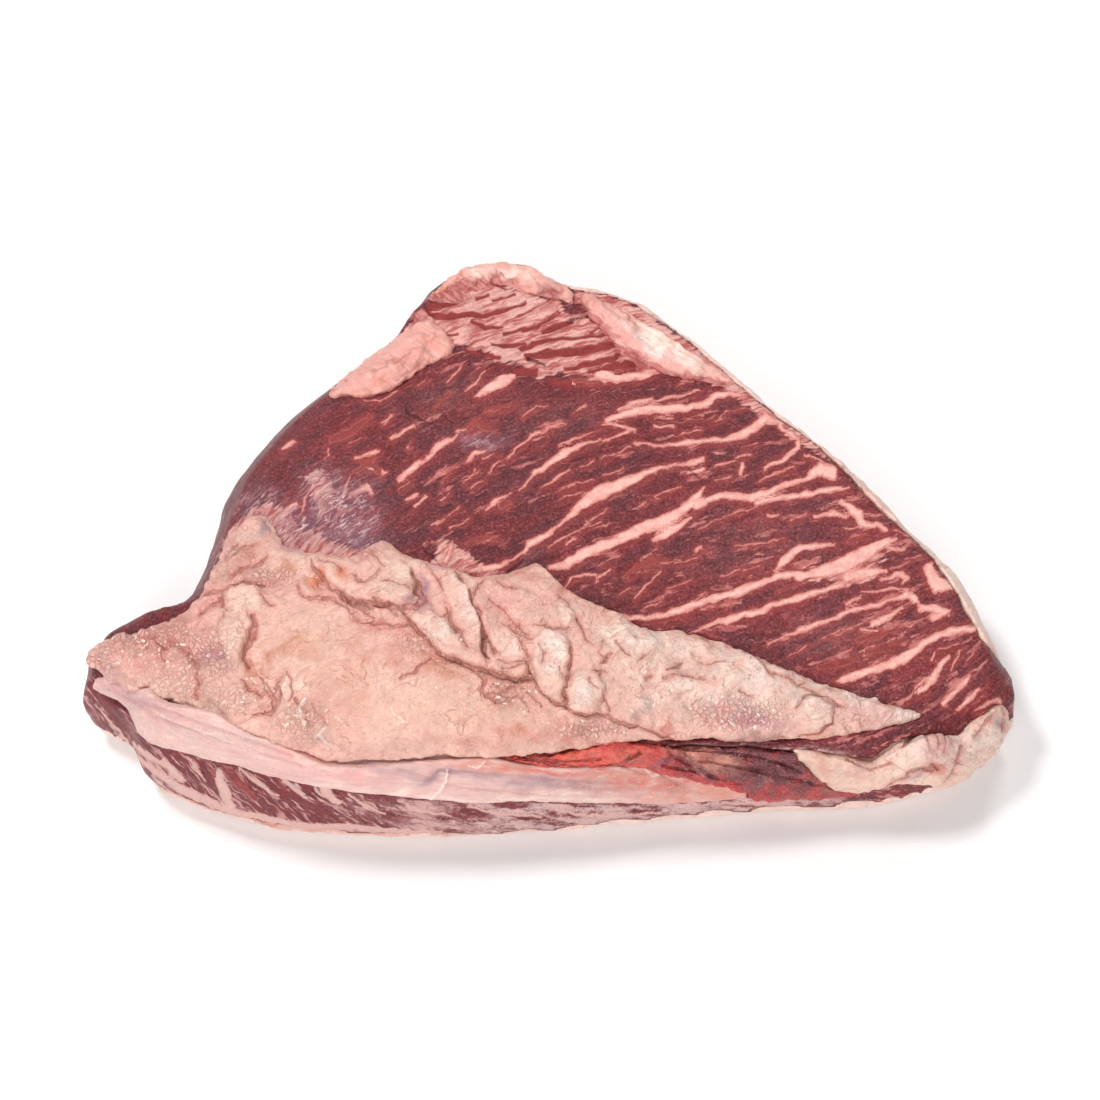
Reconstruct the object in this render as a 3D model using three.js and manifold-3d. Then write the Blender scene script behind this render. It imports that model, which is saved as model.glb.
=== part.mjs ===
// A raw picanha (beef rump cap) as a butcher lays it out: fat cap down, the marbled lean
// face up, a slab of seam fat along the front and a pale sheath under that slab's edge.
//
// Units are millimetres. +Z is up and z = 0 is the board the meat lies on. +X runs along
// the length, towards the thin tip, and -Y is the thick front edge. The origin is under
// the middle of the piece. Each tissue that shows as a layer is a mesh of its own: the
// lean, the fat cap that wraps under it, and the fats, the sheath and the wet seam tissue
// that lie in seats cut into the lean.
import * as THREE from "three";
import Module from "manifold-3d";

// Driving dimensions.
const CAP_THICKNESS = 7.5; // fat cap, on the sides and underneath
const LAYER_GAP = 0.35; // air left between two touching tissues
const PLUG_INSET = 8.3; // of the lean's lower part, which fills the fat cap
const LEAST_ROUNDING = 2; // of any edge of an inner face
const TOP_SPREAD = 27; // reach of one height point of the top face
const FAR_WEIGHT = 1e-6; // of a height point beyond its reach
const AXIS = [-10, -45]; // plan place from which every section through the piece is taken

// How finely the skins are divided.
const ROUND = 96; // points round the widest line
const TOP_RINGS = 15; // rings of the lean from its middle to the cap's rim
const SIDE_RINGS = 6; // rings of the cap from its rim to the flat underside
const BASE_RINGS = 3; // rings of the flat underside
const INNER_ROUND = 60; // points round the face between lean and cap
const INNER_RINGS = 3; // rings of that face down its side
const OUTLINE_SAMPLES = 720; // places the outline is read at
const LENGTH_SAMPLES = 600; // places its length is measured at
const WALK_STEPS = 48; // steps a section's length is measured in
const HALVINGS = 30; // of a range searched for one place
const HAIR = 1e-9; // smaller than any length that matters

// Round the outline, anticlockwise from the thin tip. Each row gives the widest line's
// x, y and height, the rounding above it and below it, and the height the fat cap reaches.
const OUTLINE = [
  [151.5, -71, 14, 9, 9, 14],
  [147, -54, 15, 9, 9, 33],
  [138, -27, 16, 9, 10, 37],
  [121, -6, 17, 9, 11, 40],
  [103, 16, 18, 9, 12, 43.5],
  [83, 36, 18, 9, 12, 45],
  [64, 57, 18, 9, 12, 45],
  [45, 78, 18, 10, 12, 45.5],
  [24, 93, 18, 11, 12, 46],
  [4, 98, 18, 11, 11, 46],
  [-14, 109, 18, 10, 11, 44],
  [-35, 104, 18, 12, 11, 30],
  [-49, 90, 18, 16, 12, 15],
  [-58, 73, 19, 18, 13, 12],
  [-80, 52, 19, 20, 13, 11],
  [-100, 28, 19, 20, 13, 11],
  [-113, 3, 19, 20, 13, 11],
  [-117, -22, 19, 18, 13, 10],
  [-127, -47, 19, 17, 12, 9],
  [-148, -54, 19, 15, 11, 8],
  [-154, -69, 18, 13, 10, 8],
  [-138, -80, 17, 14, 10, 7],
  [-132, -92, 16, 15, 9, 7],
  [-118, -100, 15, 16, 9, 7],
  [-94, -108, 14, 17, 9, 7],
  [-60, -112, 14, 17, 9, 6],
  [-20, -112, 13, 16, 9, 6],
  [25, -107, 13, 14, 8, 6],
  [70, -102, 12, 13, 8, 6],
  [108, -99, 12, 12, 8, 6],
  [131, -91, 12, 11, 8, 6],
  [144, -80, 13, 10, 8, 8],
];

// Heights of the top face, before its shoulders round off: x, y, height.
const TOP_POINTS = [
  [-146, -68, 38],
  [-112, -62, 53],
  [-70, -62, 61],
  [-25, -66, 58],
  [25, -74, 51],
  [68, -80, 44],
  [108, -86, 36],
  [-70, -100, 47],
  [-10, -100, 45],
  [60, -98, 38],
  [-96, -2, 49],
  [-50, 10, 54],
  [0, 0, 53],
  [55, -22, 47],
  [104, -40, 40],
  [140, -66, 31],
  [-60, 52, 49],
  [0, 58, 48],
  [48, 46, 45],
  [-14, 98, 46],
];

const clamp = (t) => Math.min(1, Math.max(0, t));
const mix = (a, b, t) => a + (b - a) * t;

function smooth(from, to, t) {
  const s = clamp((t - from) / (to - from));
  return s * s * (3 - 2 * s);
}

// A smooth uneven swell between -1 and 1, the same on every run.
function swell(x, y, size) {
  const u = x / size;
  const v = y / size;
  const a = Math.sin(u + 1.7 * Math.sin(0.8 * v + 0.4));
  const b = Math.sin(1.3 * v - 1.1 * Math.sin(0.9 * u + 2.1));
  return (a + b) / 2;
}

// ---- the skin of the whole piece ----

function loopThrough(columns) {
  const points = OUTLINE.map((row) => new THREE.Vector3(...columns.map((c) => row[c])));
  const curve = new THREE.CatmullRomCurve3(points, true, "centripetal");
  curve.arcLengthDivisions = LENGTH_SAMPLES;
  return curve;
}

const outlineCurve = loopThrough([0, 1, 2]);
const roundingCurve = loopThrough([3, 4, 5]);

// The outline's values in order of the angle about the axis.
const polar = (x, y) => [
  Math.atan2(y - AXIS[1], x - AXIS[0]),
  Math.hypot(x - AXIS[0], y - AXIS[1]),
];
const outlineTable = Array.from({ length: OUTLINE_SAMPLES }, (_, i) => {
  const p = outlineCurve.getPoint(i / OUTLINE_SAMPLES);
  const r = roundingCurve.getPoint(i / OUTLINE_SAMPLES);
  return [...polar(p.x, p.y), p.z, r.x, r.y, r.z];
}).sort((a, b) => a[0] - b[0]);

function outlineAt(angle) {
  const turn = 2 * Math.PI;
  const wrapped = angle - turn * Math.round(angle / turn);
  const next = outlineTable.findIndex((s) => s[0] > wrapped);
  const high = Math.max(0, next);
  const low = (high + OUTLINE_SAMPLES - 1) % OUTLINE_SAMPLES;
  const a = outlineTable[low];
  const b = outlineTable[high];
  const span = (b[0] - a[0] + turn) % turn;
  const t = span > 0 ? ((wrapped - a[0] + turn) % turn) / span : 0;
  const [radius, level, shoulder, under, rim] = a.slice(1).map((v, k) => mix(v, b[k + 1], t));
  return { radius, level, shoulder, under, rim };
}

function topHeight(x, y) {
  let sum = 0;
  let weights = 0;
  for (const [px, py, height] of TOP_POINTS) {
    const distance = ((x - px) ** 2 + (y - py) ** 2) / (2 * TOP_SPREAD ** 2);
    const weight = Math.exp(-distance) + FAR_WEIGHT / (1 + distance);
    sum += weight * height;
    weights += weight;
  }
  return sum / weights;
}

// Stations along the section at any angle: from the middle of the top to its shoulder,
// over the shoulder to the widest line, round under it, and in to the middle underneath.
const TOP_MIDDLE = 0;
const WIDEST = 2;
const UNDER_EDGE = 3;
const UNDER_MIDDLE = 4;

// A point of the skin, let in by `inset` all round.
function skinPoint(angle, station, inset = 0) {
  const edge = outlineAt(angle);
  const isTop = station <= WIDEST;
  const rounding = Math.max(LEAST_ROUNDING, (isTop ? edge.shoulder : edge.under) - inset);
  const flat = edge.radius - inset - rounding;
  const outward = isTop ? station : UNDER_MIDDLE - station;
  const turn = clamp(outward - 1) * (Math.PI / 2);
  const reach = flat * Math.min(1, outward) + rounding * Math.sin(turn);
  const x = AXIS[0] + Math.cos(angle) * reach;
  const y = AXIS[1] + Math.sin(angle) * reach;
  const face = isTop ? topHeight(x, y) - inset : inset;
  return [x, y, mix(edge.level, face, Math.cos(turn))];
}

// The station where the skin has come down to a height.
function stationAtHeight(angle, height) {
  let low = 1;
  let high = UNDER_EDGE;
  for (let i = 0; i < HALVINGS; i++) {
    const middle = (low + high) / 2;
    if (skinPoint(angle, middle)[2] > height) low = middle;
    else high = middle;
  }
  return low;
}

const rimStation = (angle) => stationAtHeight(angle, outlineAt(angle).rim);

// The station that lies a share of the way along the skin between two others.
function stationBetween(angle, from, to, share) {
  const walked = [0];
  let last = new THREE.Vector3(...skinPoint(angle, from));
  for (let i = 1; i <= WALK_STEPS; i++) {
    const here = new THREE.Vector3(...skinPoint(angle, mix(from, to, i / WALK_STEPS)));
    walked.push(walked[i - 1] + here.distanceTo(last));
    last = here;
  }
  const wanted = share * walked[WALK_STEPS];
  const i = Math.max(1, walked.findIndex((w) => w >= wanted - HAIR));
  const part = (wanted - walked[i - 1]) / (walked[i] - walked[i - 1]);
  return mix(from, to, (i - 1 + part) / WALK_STEPS);
}

// ---- solids from rings of points ----

const wasm = await Module();
wasm.setup();

// Triangles between two rings, which may hold different numbers of points. A ring of one
// point closes an end.
function zip(faces, start, count, nextStart, nextCount) {
  const steps = count > 1 ? count : 0;
  const nextSteps = nextCount > 1 ? nextCount : 0;
  let i = 0;
  let j = 0;
  while (i < steps || j < nextSteps) {
    const a = start + (i % count);
    const b = nextStart + (j % nextCount);
    const isFirst = j === nextSteps || (i < steps && (i + 1) / count <= (j + 1) / nextCount);
    if (isFirst) {
      i++;
      faces.push([a, start + (i % count), b]);
    } else {
      j++;
      faces.push([a, nextStart + (j % nextCount), b]);
    }
  }
}

function middleOf(ring) {
  return [0, 1, 2].map((k) => ring.reduce((sum, q) => sum + q[k], 0) / ring.length);
}

function ringSolid(openRings) {
  const isPoint = (ring) => ring.length === 1;
  const rings = [...openRings];
  if (!isPoint(rings[0])) rings.unshift([middleOf(rings[0])]);
  if (!isPoint(rings.at(-1))) rings.push([middleOf(rings.at(-1))]);
  const faces = [];
  let start = 0;
  for (let r = 0; r + 1 < rings.length; r++) {
    const next = start + rings[r].length;
    zip(faces, start, rings[r].length, next, rings[r + 1].length);
    start = next;
  }
  const build = (order) =>
    new wasm.Manifold(
      new wasm.Mesh({
        numProp: 3,
        vertProperties: Float32Array.from(rings.flat(2)),
        triVerts: Uint32Array.from(faces.flatMap(order)),
      }),
    );
  const made = build((f) => f);
  return made.volume() < 0 ? build(([a, b, c]) => [a, c, b]) : made;
}

// A ring round the skin, its points evenly spaced along the outline.
function ringRound(count, pointAt) {
  return Array.from({ length: count }, (_, k) => {
    const p = outlineCurve.getPointAt(k / count);
    return pointAt(polar(p.x, p.y)[0]);
  });
}

// The rings of the underside at an inset, from its middle out to its edge.
function baseRings(round, inset) {
  const rings = [[[...AXIS, inset]]];
  for (let i = 1; i <= BASE_RINGS; i++) {
    const station = mix(UNDER_MIDDLE, UNDER_EDGE, i / BASE_RINGS);
    const count = Math.round((round * i) / BASE_RINGS);
    rings.push(ringRound(count, (angle) => skinPoint(angle, station, inset)));
  }
  return rings;
}

// The rings of the side at an inset, from above the underside's edge up to below the rim.
function sideRings(round, steps, inset) {
  const rings = [];
  for (let i = 1; i < steps; i++) {
    rings.push(
      ringRound(round, (angle) => {
        const station = stationBetween(angle, UNDER_EDGE, rimStation(angle), i / steps);
        return skinPoint(angle, station, inset);
      }),
    );
  }
  return rings;
}

const rimRing = (inset) => ringRound(ROUND, (angle) => skinPoint(angle, rimStation(angle), inset));

function innerRings(inset) {
  return [...baseRings(INNER_ROUND, inset), ...sideRings(INNER_ROUND, INNER_RINGS, inset)];
}

// ---- fat cap: a dish under the lean, up to its uneven rim ----

function capSolid() {
  return ringSolid([
    ...baseRings(ROUND, 0),
    ...sideRings(ROUND, SIDE_RINGS, 0),
    rimRing(0),
    rimRing(CAP_THICKNESS),
    ...innerRings(CAP_THICKNESS).reverse(),
  ]);
}

// ---- lean: the skin above the rim, and a plug that fills the dish ----

const LEAN_SWELL = 0.7;
const LEAN_SWELL_SIZE = 15;
const RIM_CALM = 0.1; // share of the section, next to the rim, that keeps the plain skin
const RIM_STEP = 0.01; // in station, for the skin's slope at the rim

function leanPoint(angle, share) {
  const [x, y, z] = skinPoint(angle, stationBetween(angle, TOP_MIDDLE, rimStation(angle), share));
  const lift = LEAN_SWELL * swell(x, y, LEAN_SWELL_SIZE) * smooth(0, RIM_CALM, 1 - share);
  return [x, y, z + lift];
}

// The way up along the skin at the rim, as long as the gap between two tissues.
function gapAtRim(angle) {
  const station = rimStation(angle);
  const above = new THREE.Vector3(...skinPoint(angle, station - RIM_STEP));
  const below = new THREE.Vector3(...skinPoint(angle, station + RIM_STEP));
  return above.sub(below).setLength(LAYER_GAP).toArray();
}

function leanSolid() {
  const rings = [[leanPoint(0, 0)]];
  for (let i = 1; i < TOP_RINGS; i++) {
    const count = Math.round((ROUND * i) / TOP_RINGS);
    rings.push(ringRound(count, (angle) => leanPoint(angle, i / TOP_RINGS)));
  }
  for (const inset of [0, PLUG_INSET]) {
    rings.push(
      ringRound(ROUND, (angle) => {
        const gap = gapAtRim(angle);
        return skinPoint(angle, rimStation(angle), inset).map((v, k) => v + gap[k]);
      }),
    );
  }
  return ringSolid([...rings, ...innerRings(PLUG_INSET).reverse()]);
}

// ---- tissues let into the skin ----

const SEAT_REACH = 9; // how far a seat is cut open above the skin
const PROBE = 1e-3; // step in angle and station for the skin's slope
const PLAIN_BELOW = 2; // facets across the hidden face of a thin patch
const STEEPEST = 0.99; // sine of the steepest place of the shoulder that is reached

// A skin point with its outward direction, at an angle and a station.
function skinAt(angle, station) {
  const point = new THREE.Vector3(...skinPoint(angle, station));
  const round = new THREE.Vector3(...skinPoint(angle + PROBE, station)).sub(point);
  const down = new THREE.Vector3(...skinPoint(angle, station + PROBE)).sub(point);
  return { point, out: down.cross(round).normalize() };
}

// The skin over a plan place.
function skinOver(x, y) {
  const [angle, reach] = polar(x, y);
  const edge = outlineAt(angle);
  const flat = edge.radius - edge.shoulder;
  if (reach <= flat) return skinAt(angle, reach / flat);
  const sine = Math.min(STEEPEST, (reach - flat) / edge.shoulder);
  return skinAt(angle, 1 + Math.asin(sine) / (Math.PI / 2));
}

// The angles of the blunt and the thin tip, between which the front side runs.
const tipAngle = ([x, y]) => polar(x, y)[0];
const THIN_TIP = tipAngle(OUTLINE.reduce((a, b) => (b[0] > a[0] ? b : a)));
const BLUNT_TIP = tipAngle(OUTLINE.reduce((a, b) => (b[0] < a[0] ? b : a)));

// The skin of the front side at a place along it and a height.
function skinOfFront(x, z) {
  let low = BLUNT_TIP;
  let high = THIN_TIP;
  for (let i = 0; i < HALVINGS; i++) {
    const middle = (low + high) / 2;
    if (AXIS[0] + Math.cos(middle) * outlineAt(middle).radius < x) low = middle;
    else high = middle;
  }
  return skinAt(low, stationAtHeight(low, z));
}

// A smooth curve through rows of numbers, as a function of 0 to 1.
function rowsAlong(rows) {
  const stretch = rows.length - 1;
  return (t) => {
    const place = clamp(t) * stretch;
    const i = Math.min(stretch - 1, Math.floor(place));
    const f = place - i;
    return rows[0].map((_, k) => {
      const start = rows[i][k];
      const end = rows[i + 1][k];
      const before = i > 0 ? rows[i - 1][k] : 2 * start - end;
      const after = i + 2 < rows.length ? rows[i + 2][k] : 2 * end - start;
      const slope1 = (end - before) / 2;
      const slope2 = (after - start) / 2;
      const bend = 3 * (end - start) - 2 * slope1 - slope2;
      const twist = 2 * (start - end) + slope1 + slope2;
      return start + slope1 * f + bend * f ** 2 + twist * f ** 3;
    });
  };
}

// A patch of tissue. `skin` gives the skin's place along it and across it, `proud` and
// `deep` how far it stands out there and how far it reaches in. With a gap it is the seat
// that holds the patch, grown by the gap and open above.
function patchSolid(patch, gap = 0) {
  const { skin, proud, deep, along, across, below } = patch;
  const rings = [];
  for (let i = 0; i <= along; i++) {
    const t = i / along;
    const width = skin(t, 0).point.distanceTo(skin(t, 1).point);
    const grown = gap / Math.max(1, width);
    const pushed = (v, push) => {
      const { point, out } = skin(t, mix(-grown, 1 + grown, v));
      return point.addScaledVector(out, push);
    };
    const ring = [];
    for (let j = 0; j <= across; j++) {
      const v = j / across;
      ring.push(pushed(v, gap ? SEAT_REACH : proud(t, v, width)));
    }
    for (let j = below; j >= 0; j--) {
      const v = j / below;
      ring.push(pushed(v, -deep(t, v, width) - gap));
    }
    rings.push(ring);
  }
  for (const [end, next] of [[0, 1], [along, along - 1]]) {
    const middle = (ring) => new THREE.Vector3(...middleOf(ring.map((p) => p.toArray())));
    const away = middle(rings[end]).sub(middle(rings[next])).setLength(gap);
    rings[end].forEach((p) => p.add(away));
  }
  return ringSolid(rings.map((ring) => ring.map((p) => p.toArray())));
}

// A patch between two edges drawn in plan, x and y.
function planPatch(front, back, rest) {
  const frontAt = rowsAlong(front);
  const backAt = rowsAlong(back);
  const place = (t, v) => frontAt(t).map((c, k) => mix(c, backAt(t)[k], v));
  return {
    ...rest,
    skin: (t, v) => skinOver(...place(t, v)),
    proud: (t, v, width) => rest.proud(...place(t, v), v, width),
  };
}

// A band along the front side. Each row: x, lower and upper height, and how far it stands
// proud, from the blunt tip towards the thin tip.
const BAND_DEPTH = 3.6;
const BAND_END = 0.04; // share of the length cut off its tapering ends
const BAND_SIDE = 0.08; // share of the width cut off its tapering sides
const BAND_ACROSS = 5;

function frontBand(rows, along) {
  const at = rowsAlong(rows);
  const hump = (t, trim) => Math.sqrt(Math.sin(Math.PI * mix(trim, 1 - trim, clamp(t))));
  return {
    along,
    across: BAND_ACROSS,
    below: PLAIN_BELOW,
    skin: (t, v) => skinOfFront(at(t)[0], mix(at(t)[1], at(t)[2], v)),
    proud: (t, v) => at(t)[3] * hump(t, BAND_END) * hump(v, BAND_SIDE),
    deep: (t) => BAND_DEPTH * hump(t, BAND_END),
  };
}

// ---- seam fat: the slab over the front of the top ----

const SLAB_FRONT = [
  [-150, -65],
  [-141, -74],
  [-122, -85],
  [-104, -95],
  [-86, -101],
  [-66, -106],
  [-33, -105],
  [-2, -103],
  [23, -99],
  [50, -97],
  [75, -96],
  [98, -91],
  [117, -85],
];
const SLAB_BACK = [
  [-149, -63],
  [-144, -60],
  [-134, -59],
  [-124, -58],
  [-115, -53],
  [-108, -41],
  [-104, -29],
  [-101, -19],
  [-96, -16],
  [-92, -20],
  [-88, -29],
  [-82, -33],
  [-75, -36],
  [-67, -38],
  [-60, -33],
  [-54, -31],
  [-48, -37],
  [-41, -39],
  [-33, -42],
  [-23, -44],
  [-14, -43],
  [-6, -38],
  [-2, -42],
  [5, -49],
  [13, -52],
  [21, -55],
  [30, -60],
  [43, -60],
  [53, -62],
  [62, -66],
  [70, -70],
  [85, -74],
  [100, -79],
  [112, -82],
  [117, -84],
];
// The upper flap lies over the smooth panel in front of it, with its lip along this line.
const FLAP_LIP = [
  [-92, -46],
  [-81, -49],
  [-68, -52],
  [-52, -56],
  [-46, -60],
  [-38, -72],
  [-29, -75],
  [-16, -80],
  [-8, -81],
  [-3, -86],
  [7, -91],
  [22, -93],
  [33, -96],
];
const FLAP_STEP = 2.4;
const LIP_SOFTNESS = 2.5;
const LIP_FADE = 14; // over which the lip comes up at its two ends
// Lobes, leaves and hollows: x and y of both ends, half width, and height or depth.
const FOLDS = [
  [-33, -47, -25, -67, 6, 1.8], // long finger
  [-44, -61, -29, -74, 5, 1.2], // pale finger in front of it
  [-54, -43, -46, -51, 5, 1.4], // round leaf
  [-43, -50, -38, -55, 4, -2.6], // gap beside the leaf
  [-17, -49, -7, -64, 5, 1.0],
  [-1, -66, 2, -85, 5, 1.4], // broad lobes at the lip
  [11, -77, 11, -88, 5, 1.4],
  [-101, -58, -99, -76, 4, 1.2], // upright leaf on the left
  [-98, -52, -97, -51, 5, 1.2],
  [-95, -81, -88, -91, 4, -1.8], // puckered pit
  [-101, -22, -112, -46, 4, 1.2], // strands up to the neck
  [-78, -78, -40, -88, 14, 1.2], // smooth panel's crown
  [24, -72, 66, -82, 11, 1.4], // right hand mass
];
const SLAB_EDGE = 0.4; // how far its border stands proud
const SLAB_BORDER = 4; // width over which it comes up from there
const SLAB_PROUD = 1.5;
const SLAB_CROWN = 2.2; // more at the middle of its width
const CROWN_WIDTH = 40; // width from which the crown is whole
const SLAB_ROUGH = 0.5;
const SLAB_ROUGH_SIZE = 7;
const SLAB_DEEP = 6;
const BORDER_DEEP = 1.6;
const DEEP_BORDER = 16; // width over which it goes down to its depth
const DEEP_WIDTH = 24; // width from which the depth is whole

function lipSide(x, y) {
  const i = FLAP_LIP.findIndex(([px], k) => k > 0 && px >= x);
  if (i < 1) return 0;
  const [ax, ay] = FLAP_LIP[i - 1];
  const [bx, by] = FLAP_LIP[i];
  return y - mix(ay, by, (x - ax) / (bx - ax));
}

function foldHeight(x, y) {
  return FOLDS.reduce((sum, [ax, ay, bx, by, width, height]) => {
    const length = (bx - ax) ** 2 + (by - ay) ** 2;
    const t = clamp(((x - ax) * (bx - ax) + (y - ay) * (by - ay)) / length);
    const away = Math.hypot(x - mix(ax, bx, t), y - mix(ay, by, t)) / width;
    return sum + height * Math.exp(-(away ** 2));
  }, 0);
}

function slabProud(x, y, v, width) {
  const inside = smooth(0, SLAB_BORDER, Math.min(v, 1 - v) * width);
  const crown = SLAB_CROWN * Math.sin(Math.PI * v) * clamp(width / CROWN_WIDTH);
  const [lipStart, lipEnd] = [FLAP_LIP[0][0], FLAP_LIP.at(-1)[0]];
  const fade = smooth(0, LIP_FADE, Math.min(x - lipStart, lipEnd - x));
  const flap = FLAP_STEP * fade * smooth(-LIP_SOFTNESS, LIP_SOFTNESS, lipSide(x, y));
  const rough = SLAB_ROUGH * swell(x, y, SLAB_ROUGH_SIZE);
  return SLAB_EDGE + inside * (SLAB_PROUD + crown + flap + foldHeight(x, y) + rough);
}

const SLAB = planPatch(SLAB_FRONT, SLAB_BACK, {
  along: 60,
  across: 14,
  below: 4,
  proud: slabProud,
  deep: (t, v, width) => {
    const inside = smooth(0, DEEP_BORDER, Math.min(v, 1 - v) * width);
    return BORDER_DEEP + (SLAB_DEEP - BORDER_DEEP) * clamp(width / DEEP_WIDTH) * inside;
  },
});

// ---- thin fats left on the lean's edges ----

const REMNANT_EDGE = 0.3; // how far its border stands proud
const REMNANT_CROWN = 1.1;
const REMNANT_ROUGH = 0.4; // share of the crown that comes and goes
const REMNANT_ROUGH_SIZE = 5;
const REMNANT_DEEP = 1.8;

function remnant(front, back) {
  return planPatch(front, back, {
    along: 14,
    across: 5,
    below: PLAIN_BELOW,
    proud: (x, y, v) => {
      const rough = 1 + REMNANT_ROUGH * swell(x, y, REMNANT_ROUGH_SIZE);
      return REMNANT_EDGE + REMNANT_CROWN * Math.sin(Math.PI * v) * rough;
    },
    deep: () => REMNANT_DEEP,
  });
}

const SHOULDER_FAT = remnant(
  [
    [-75, 36],
    [-60, 35],
    [-47, 46],
    [-34, 58],
    [-38, 67],
    [-44, 76],
  ],
  [
    [-77, 39],
    [-70, 50],
    [-62, 59],
    [-54, 68],
    [-50, 74],
    [-46, 79],
  ],
);
const EDGE_FAT = remnant(
  [
    [9, 82],
    [17, 66],
    [28, 52],
    [41, 48],
    [60, 44],
  ],
  [
    [11, 85],
    [25, 77],
    [39, 66],
    [51, 56],
    [62, 45],
  ],
);
const APEX_FAT = remnant(
  [
    [-43, 80],
    [-32, 80],
    [-19, 87],
    [-5, 84],
    [7, 80],
  ],
  [
    [-42, 86],
    [-33, 96],
    [-19, 100],
    [-4, 95],
    [8, 84],
  ],
);

// ---- bands on the front side ----

const SHEATH = frontBand(
  [
    [-151, 33, 37, 0.5],
    [-146, 32, 38, 1.5],
    [-139, 32, 42, 2.2],
    [-131, 33, 45, 2.4],
    [-122, 36, 48, 2.6],
    [-112, 37, 50, 2.6],
    [-103, 38, 50, 2.6],
    [-93, 37, 50, 2.6],
    [-82, 36, 48, 2.4],
    [-70, 34, 46, 2.4],
    [-48, 31, 45, 2.2],
    [-23, 28, 44, 2.0],
    [-7, 26, 40, 1.8],
    [8, 23, 38, 1.6],
    [28, 19, 36, 1.4],
    [45, 16, 29, 1.2],
    [62, 16, 20, 0.6],
  ],
  36,
);
const SEAM_TISSUE = frontBand(
  [
    [-33, 43, 45, 0.3],
    [-16, 41, 45, 0.7],
    [-2, 39, 45, 1.0],
    [12, 37, 45, 1.4],
    [25, 35, 44, 1.6],
    [36, 32, 42, 1.8],
    [45, 27, 40, 2.2],
    [56, 21, 39, 2.4],
    [67, 15, 38, 2.6],
    [79, 13, 36, 2.4],
    [90, 13, 28, 2.0],
    [101, 15, 20, 0.8],
  ],
  22,
);
const END_FAT = frontBand(
  [
    [81, 33, 37, 0.6],
    [88, 20, 36, 2.2],
    [96, 17, 33, 3.2],
    [104, 18, 30, 3.6],
    [112, 20, 34, 4.4],
    [119, 16, 35, 5.4],
    [126, 10, 34, 5.4],
    [132, 9, 29, 4.0],
    [138, 9, 30, 3.8],
    [144, 10, 30, 3.6],
    [147, 13, 29, 3.0],
    [148.5, 16, 28, 1.6],
  ],
  26,
);

// ---- the pieces ----

// In this order each tissue gives way to those before it, and the lean to all of them.
const LET_IN = {
  end_fat: END_FAT,
  seam_fat: SLAB,
  silverskin: SHEATH,
  seam_tissue: SEAM_TISSUE,
  shoulder_fat: SHOULDER_FAT,
  edge_fat: EDGE_FAT,
  apex_fat: APEX_FAT,
};

const FINISHES = {
  lean: { color: "#8b4c4d", roughness: 0.5 },
  fat_cap: { color: "#f0c8b6", roughness: 0.5 },
  seam_fat: { color: "#eec2b0", roughness: 0.45 },
  silverskin: { color: "#e6c6bd", roughness: 0.3 },
  seam_tissue: { color: "#88434c", roughness: 0.2 },
  end_fat: { color: "#e8c1ae", roughness: 0.45 },
  shoulder_fat: { color: "#ebaca0", roughness: 0.45 },
  edge_fat: { color: "#f4c7c0", roughness: 0.4 },
  apex_fat: { color: "#f1ada0", roughness: 0.45 },
};

const parts = { fat_cap: capSolid() };
let lean = leanSolid();
const seats = [];
for (const [name, patch] of Object.entries(LET_IN)) {
  const solid = patchSolid(patch);
  parts[name] = seats.reduce((left, seat) => left.subtract(seat), solid);
  const seat = patchSolid(patch, LAYER_GAP).add(solid);
  lean = lean.subtract(seat);
  seats.push(seat);
}
parts.lean = lean;

// The largest body of a solid, as a named mesh.
function meshOf(name, solid) {
  const [body] = solid.decompose().sort((a, b) => b.volume() - a.volume());
  const made = body.getMesh();
  const corner = (v) => made.vertProperties.subarray(v * made.numProp, v * made.numProp + 3);
  const positions = Float32Array.from([...made.triVerts].flatMap((v) => [...corner(v)]));
  const geometry = new THREE.BufferGeometry();
  geometry.setAttribute("position", new THREE.BufferAttribute(positions, 3));
  geometry.computeVertexNormals();
  const material = new THREE.MeshStandardMaterial({ metalness: 0, ...FINISHES[name] });
  const mesh = new THREE.Mesh(geometry, material);
  mesh.name = name;
  return mesh;
}

const picanha = new THREE.Group();
for (const [name, solid] of Object.entries(parts)) picanha.add(meshOf(name, solid));

// The origin goes under the middle of the piece.
const middle = new THREE.Box3().setFromObject(picanha).getCenter(new THREE.Vector3());
for (const mesh of picanha.children) mesh.geometry.translate(-middle.x, -middle.y, 0);

export default picanha;
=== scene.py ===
"""A raw picanha: marbled lean on its fat cap, with a slab of seam fat along the thick edge."""

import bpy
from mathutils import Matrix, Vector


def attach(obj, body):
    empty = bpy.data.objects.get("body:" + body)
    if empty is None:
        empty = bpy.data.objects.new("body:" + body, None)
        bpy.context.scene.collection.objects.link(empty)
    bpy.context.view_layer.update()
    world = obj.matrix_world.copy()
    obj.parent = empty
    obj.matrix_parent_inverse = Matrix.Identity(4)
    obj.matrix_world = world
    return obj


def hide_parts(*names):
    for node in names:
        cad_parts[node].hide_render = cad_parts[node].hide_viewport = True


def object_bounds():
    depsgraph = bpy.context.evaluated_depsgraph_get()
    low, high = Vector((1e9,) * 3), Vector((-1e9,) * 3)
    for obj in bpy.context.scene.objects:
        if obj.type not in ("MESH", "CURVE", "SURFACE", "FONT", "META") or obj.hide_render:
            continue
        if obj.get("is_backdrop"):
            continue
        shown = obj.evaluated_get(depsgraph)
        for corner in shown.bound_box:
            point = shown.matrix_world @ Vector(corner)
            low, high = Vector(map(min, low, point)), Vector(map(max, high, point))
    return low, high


bl_info = {
    "name": "Picanha",
    "version": (1, 0, 0),
    "blender": (4, 5, 0),
    "location": "View3D > Sidebar > Picanha",
    "description": "Makes a raw beef rump cap with marbled lean, fat cap and seam fat",
    "category": "Mesh",
}

import math

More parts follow.
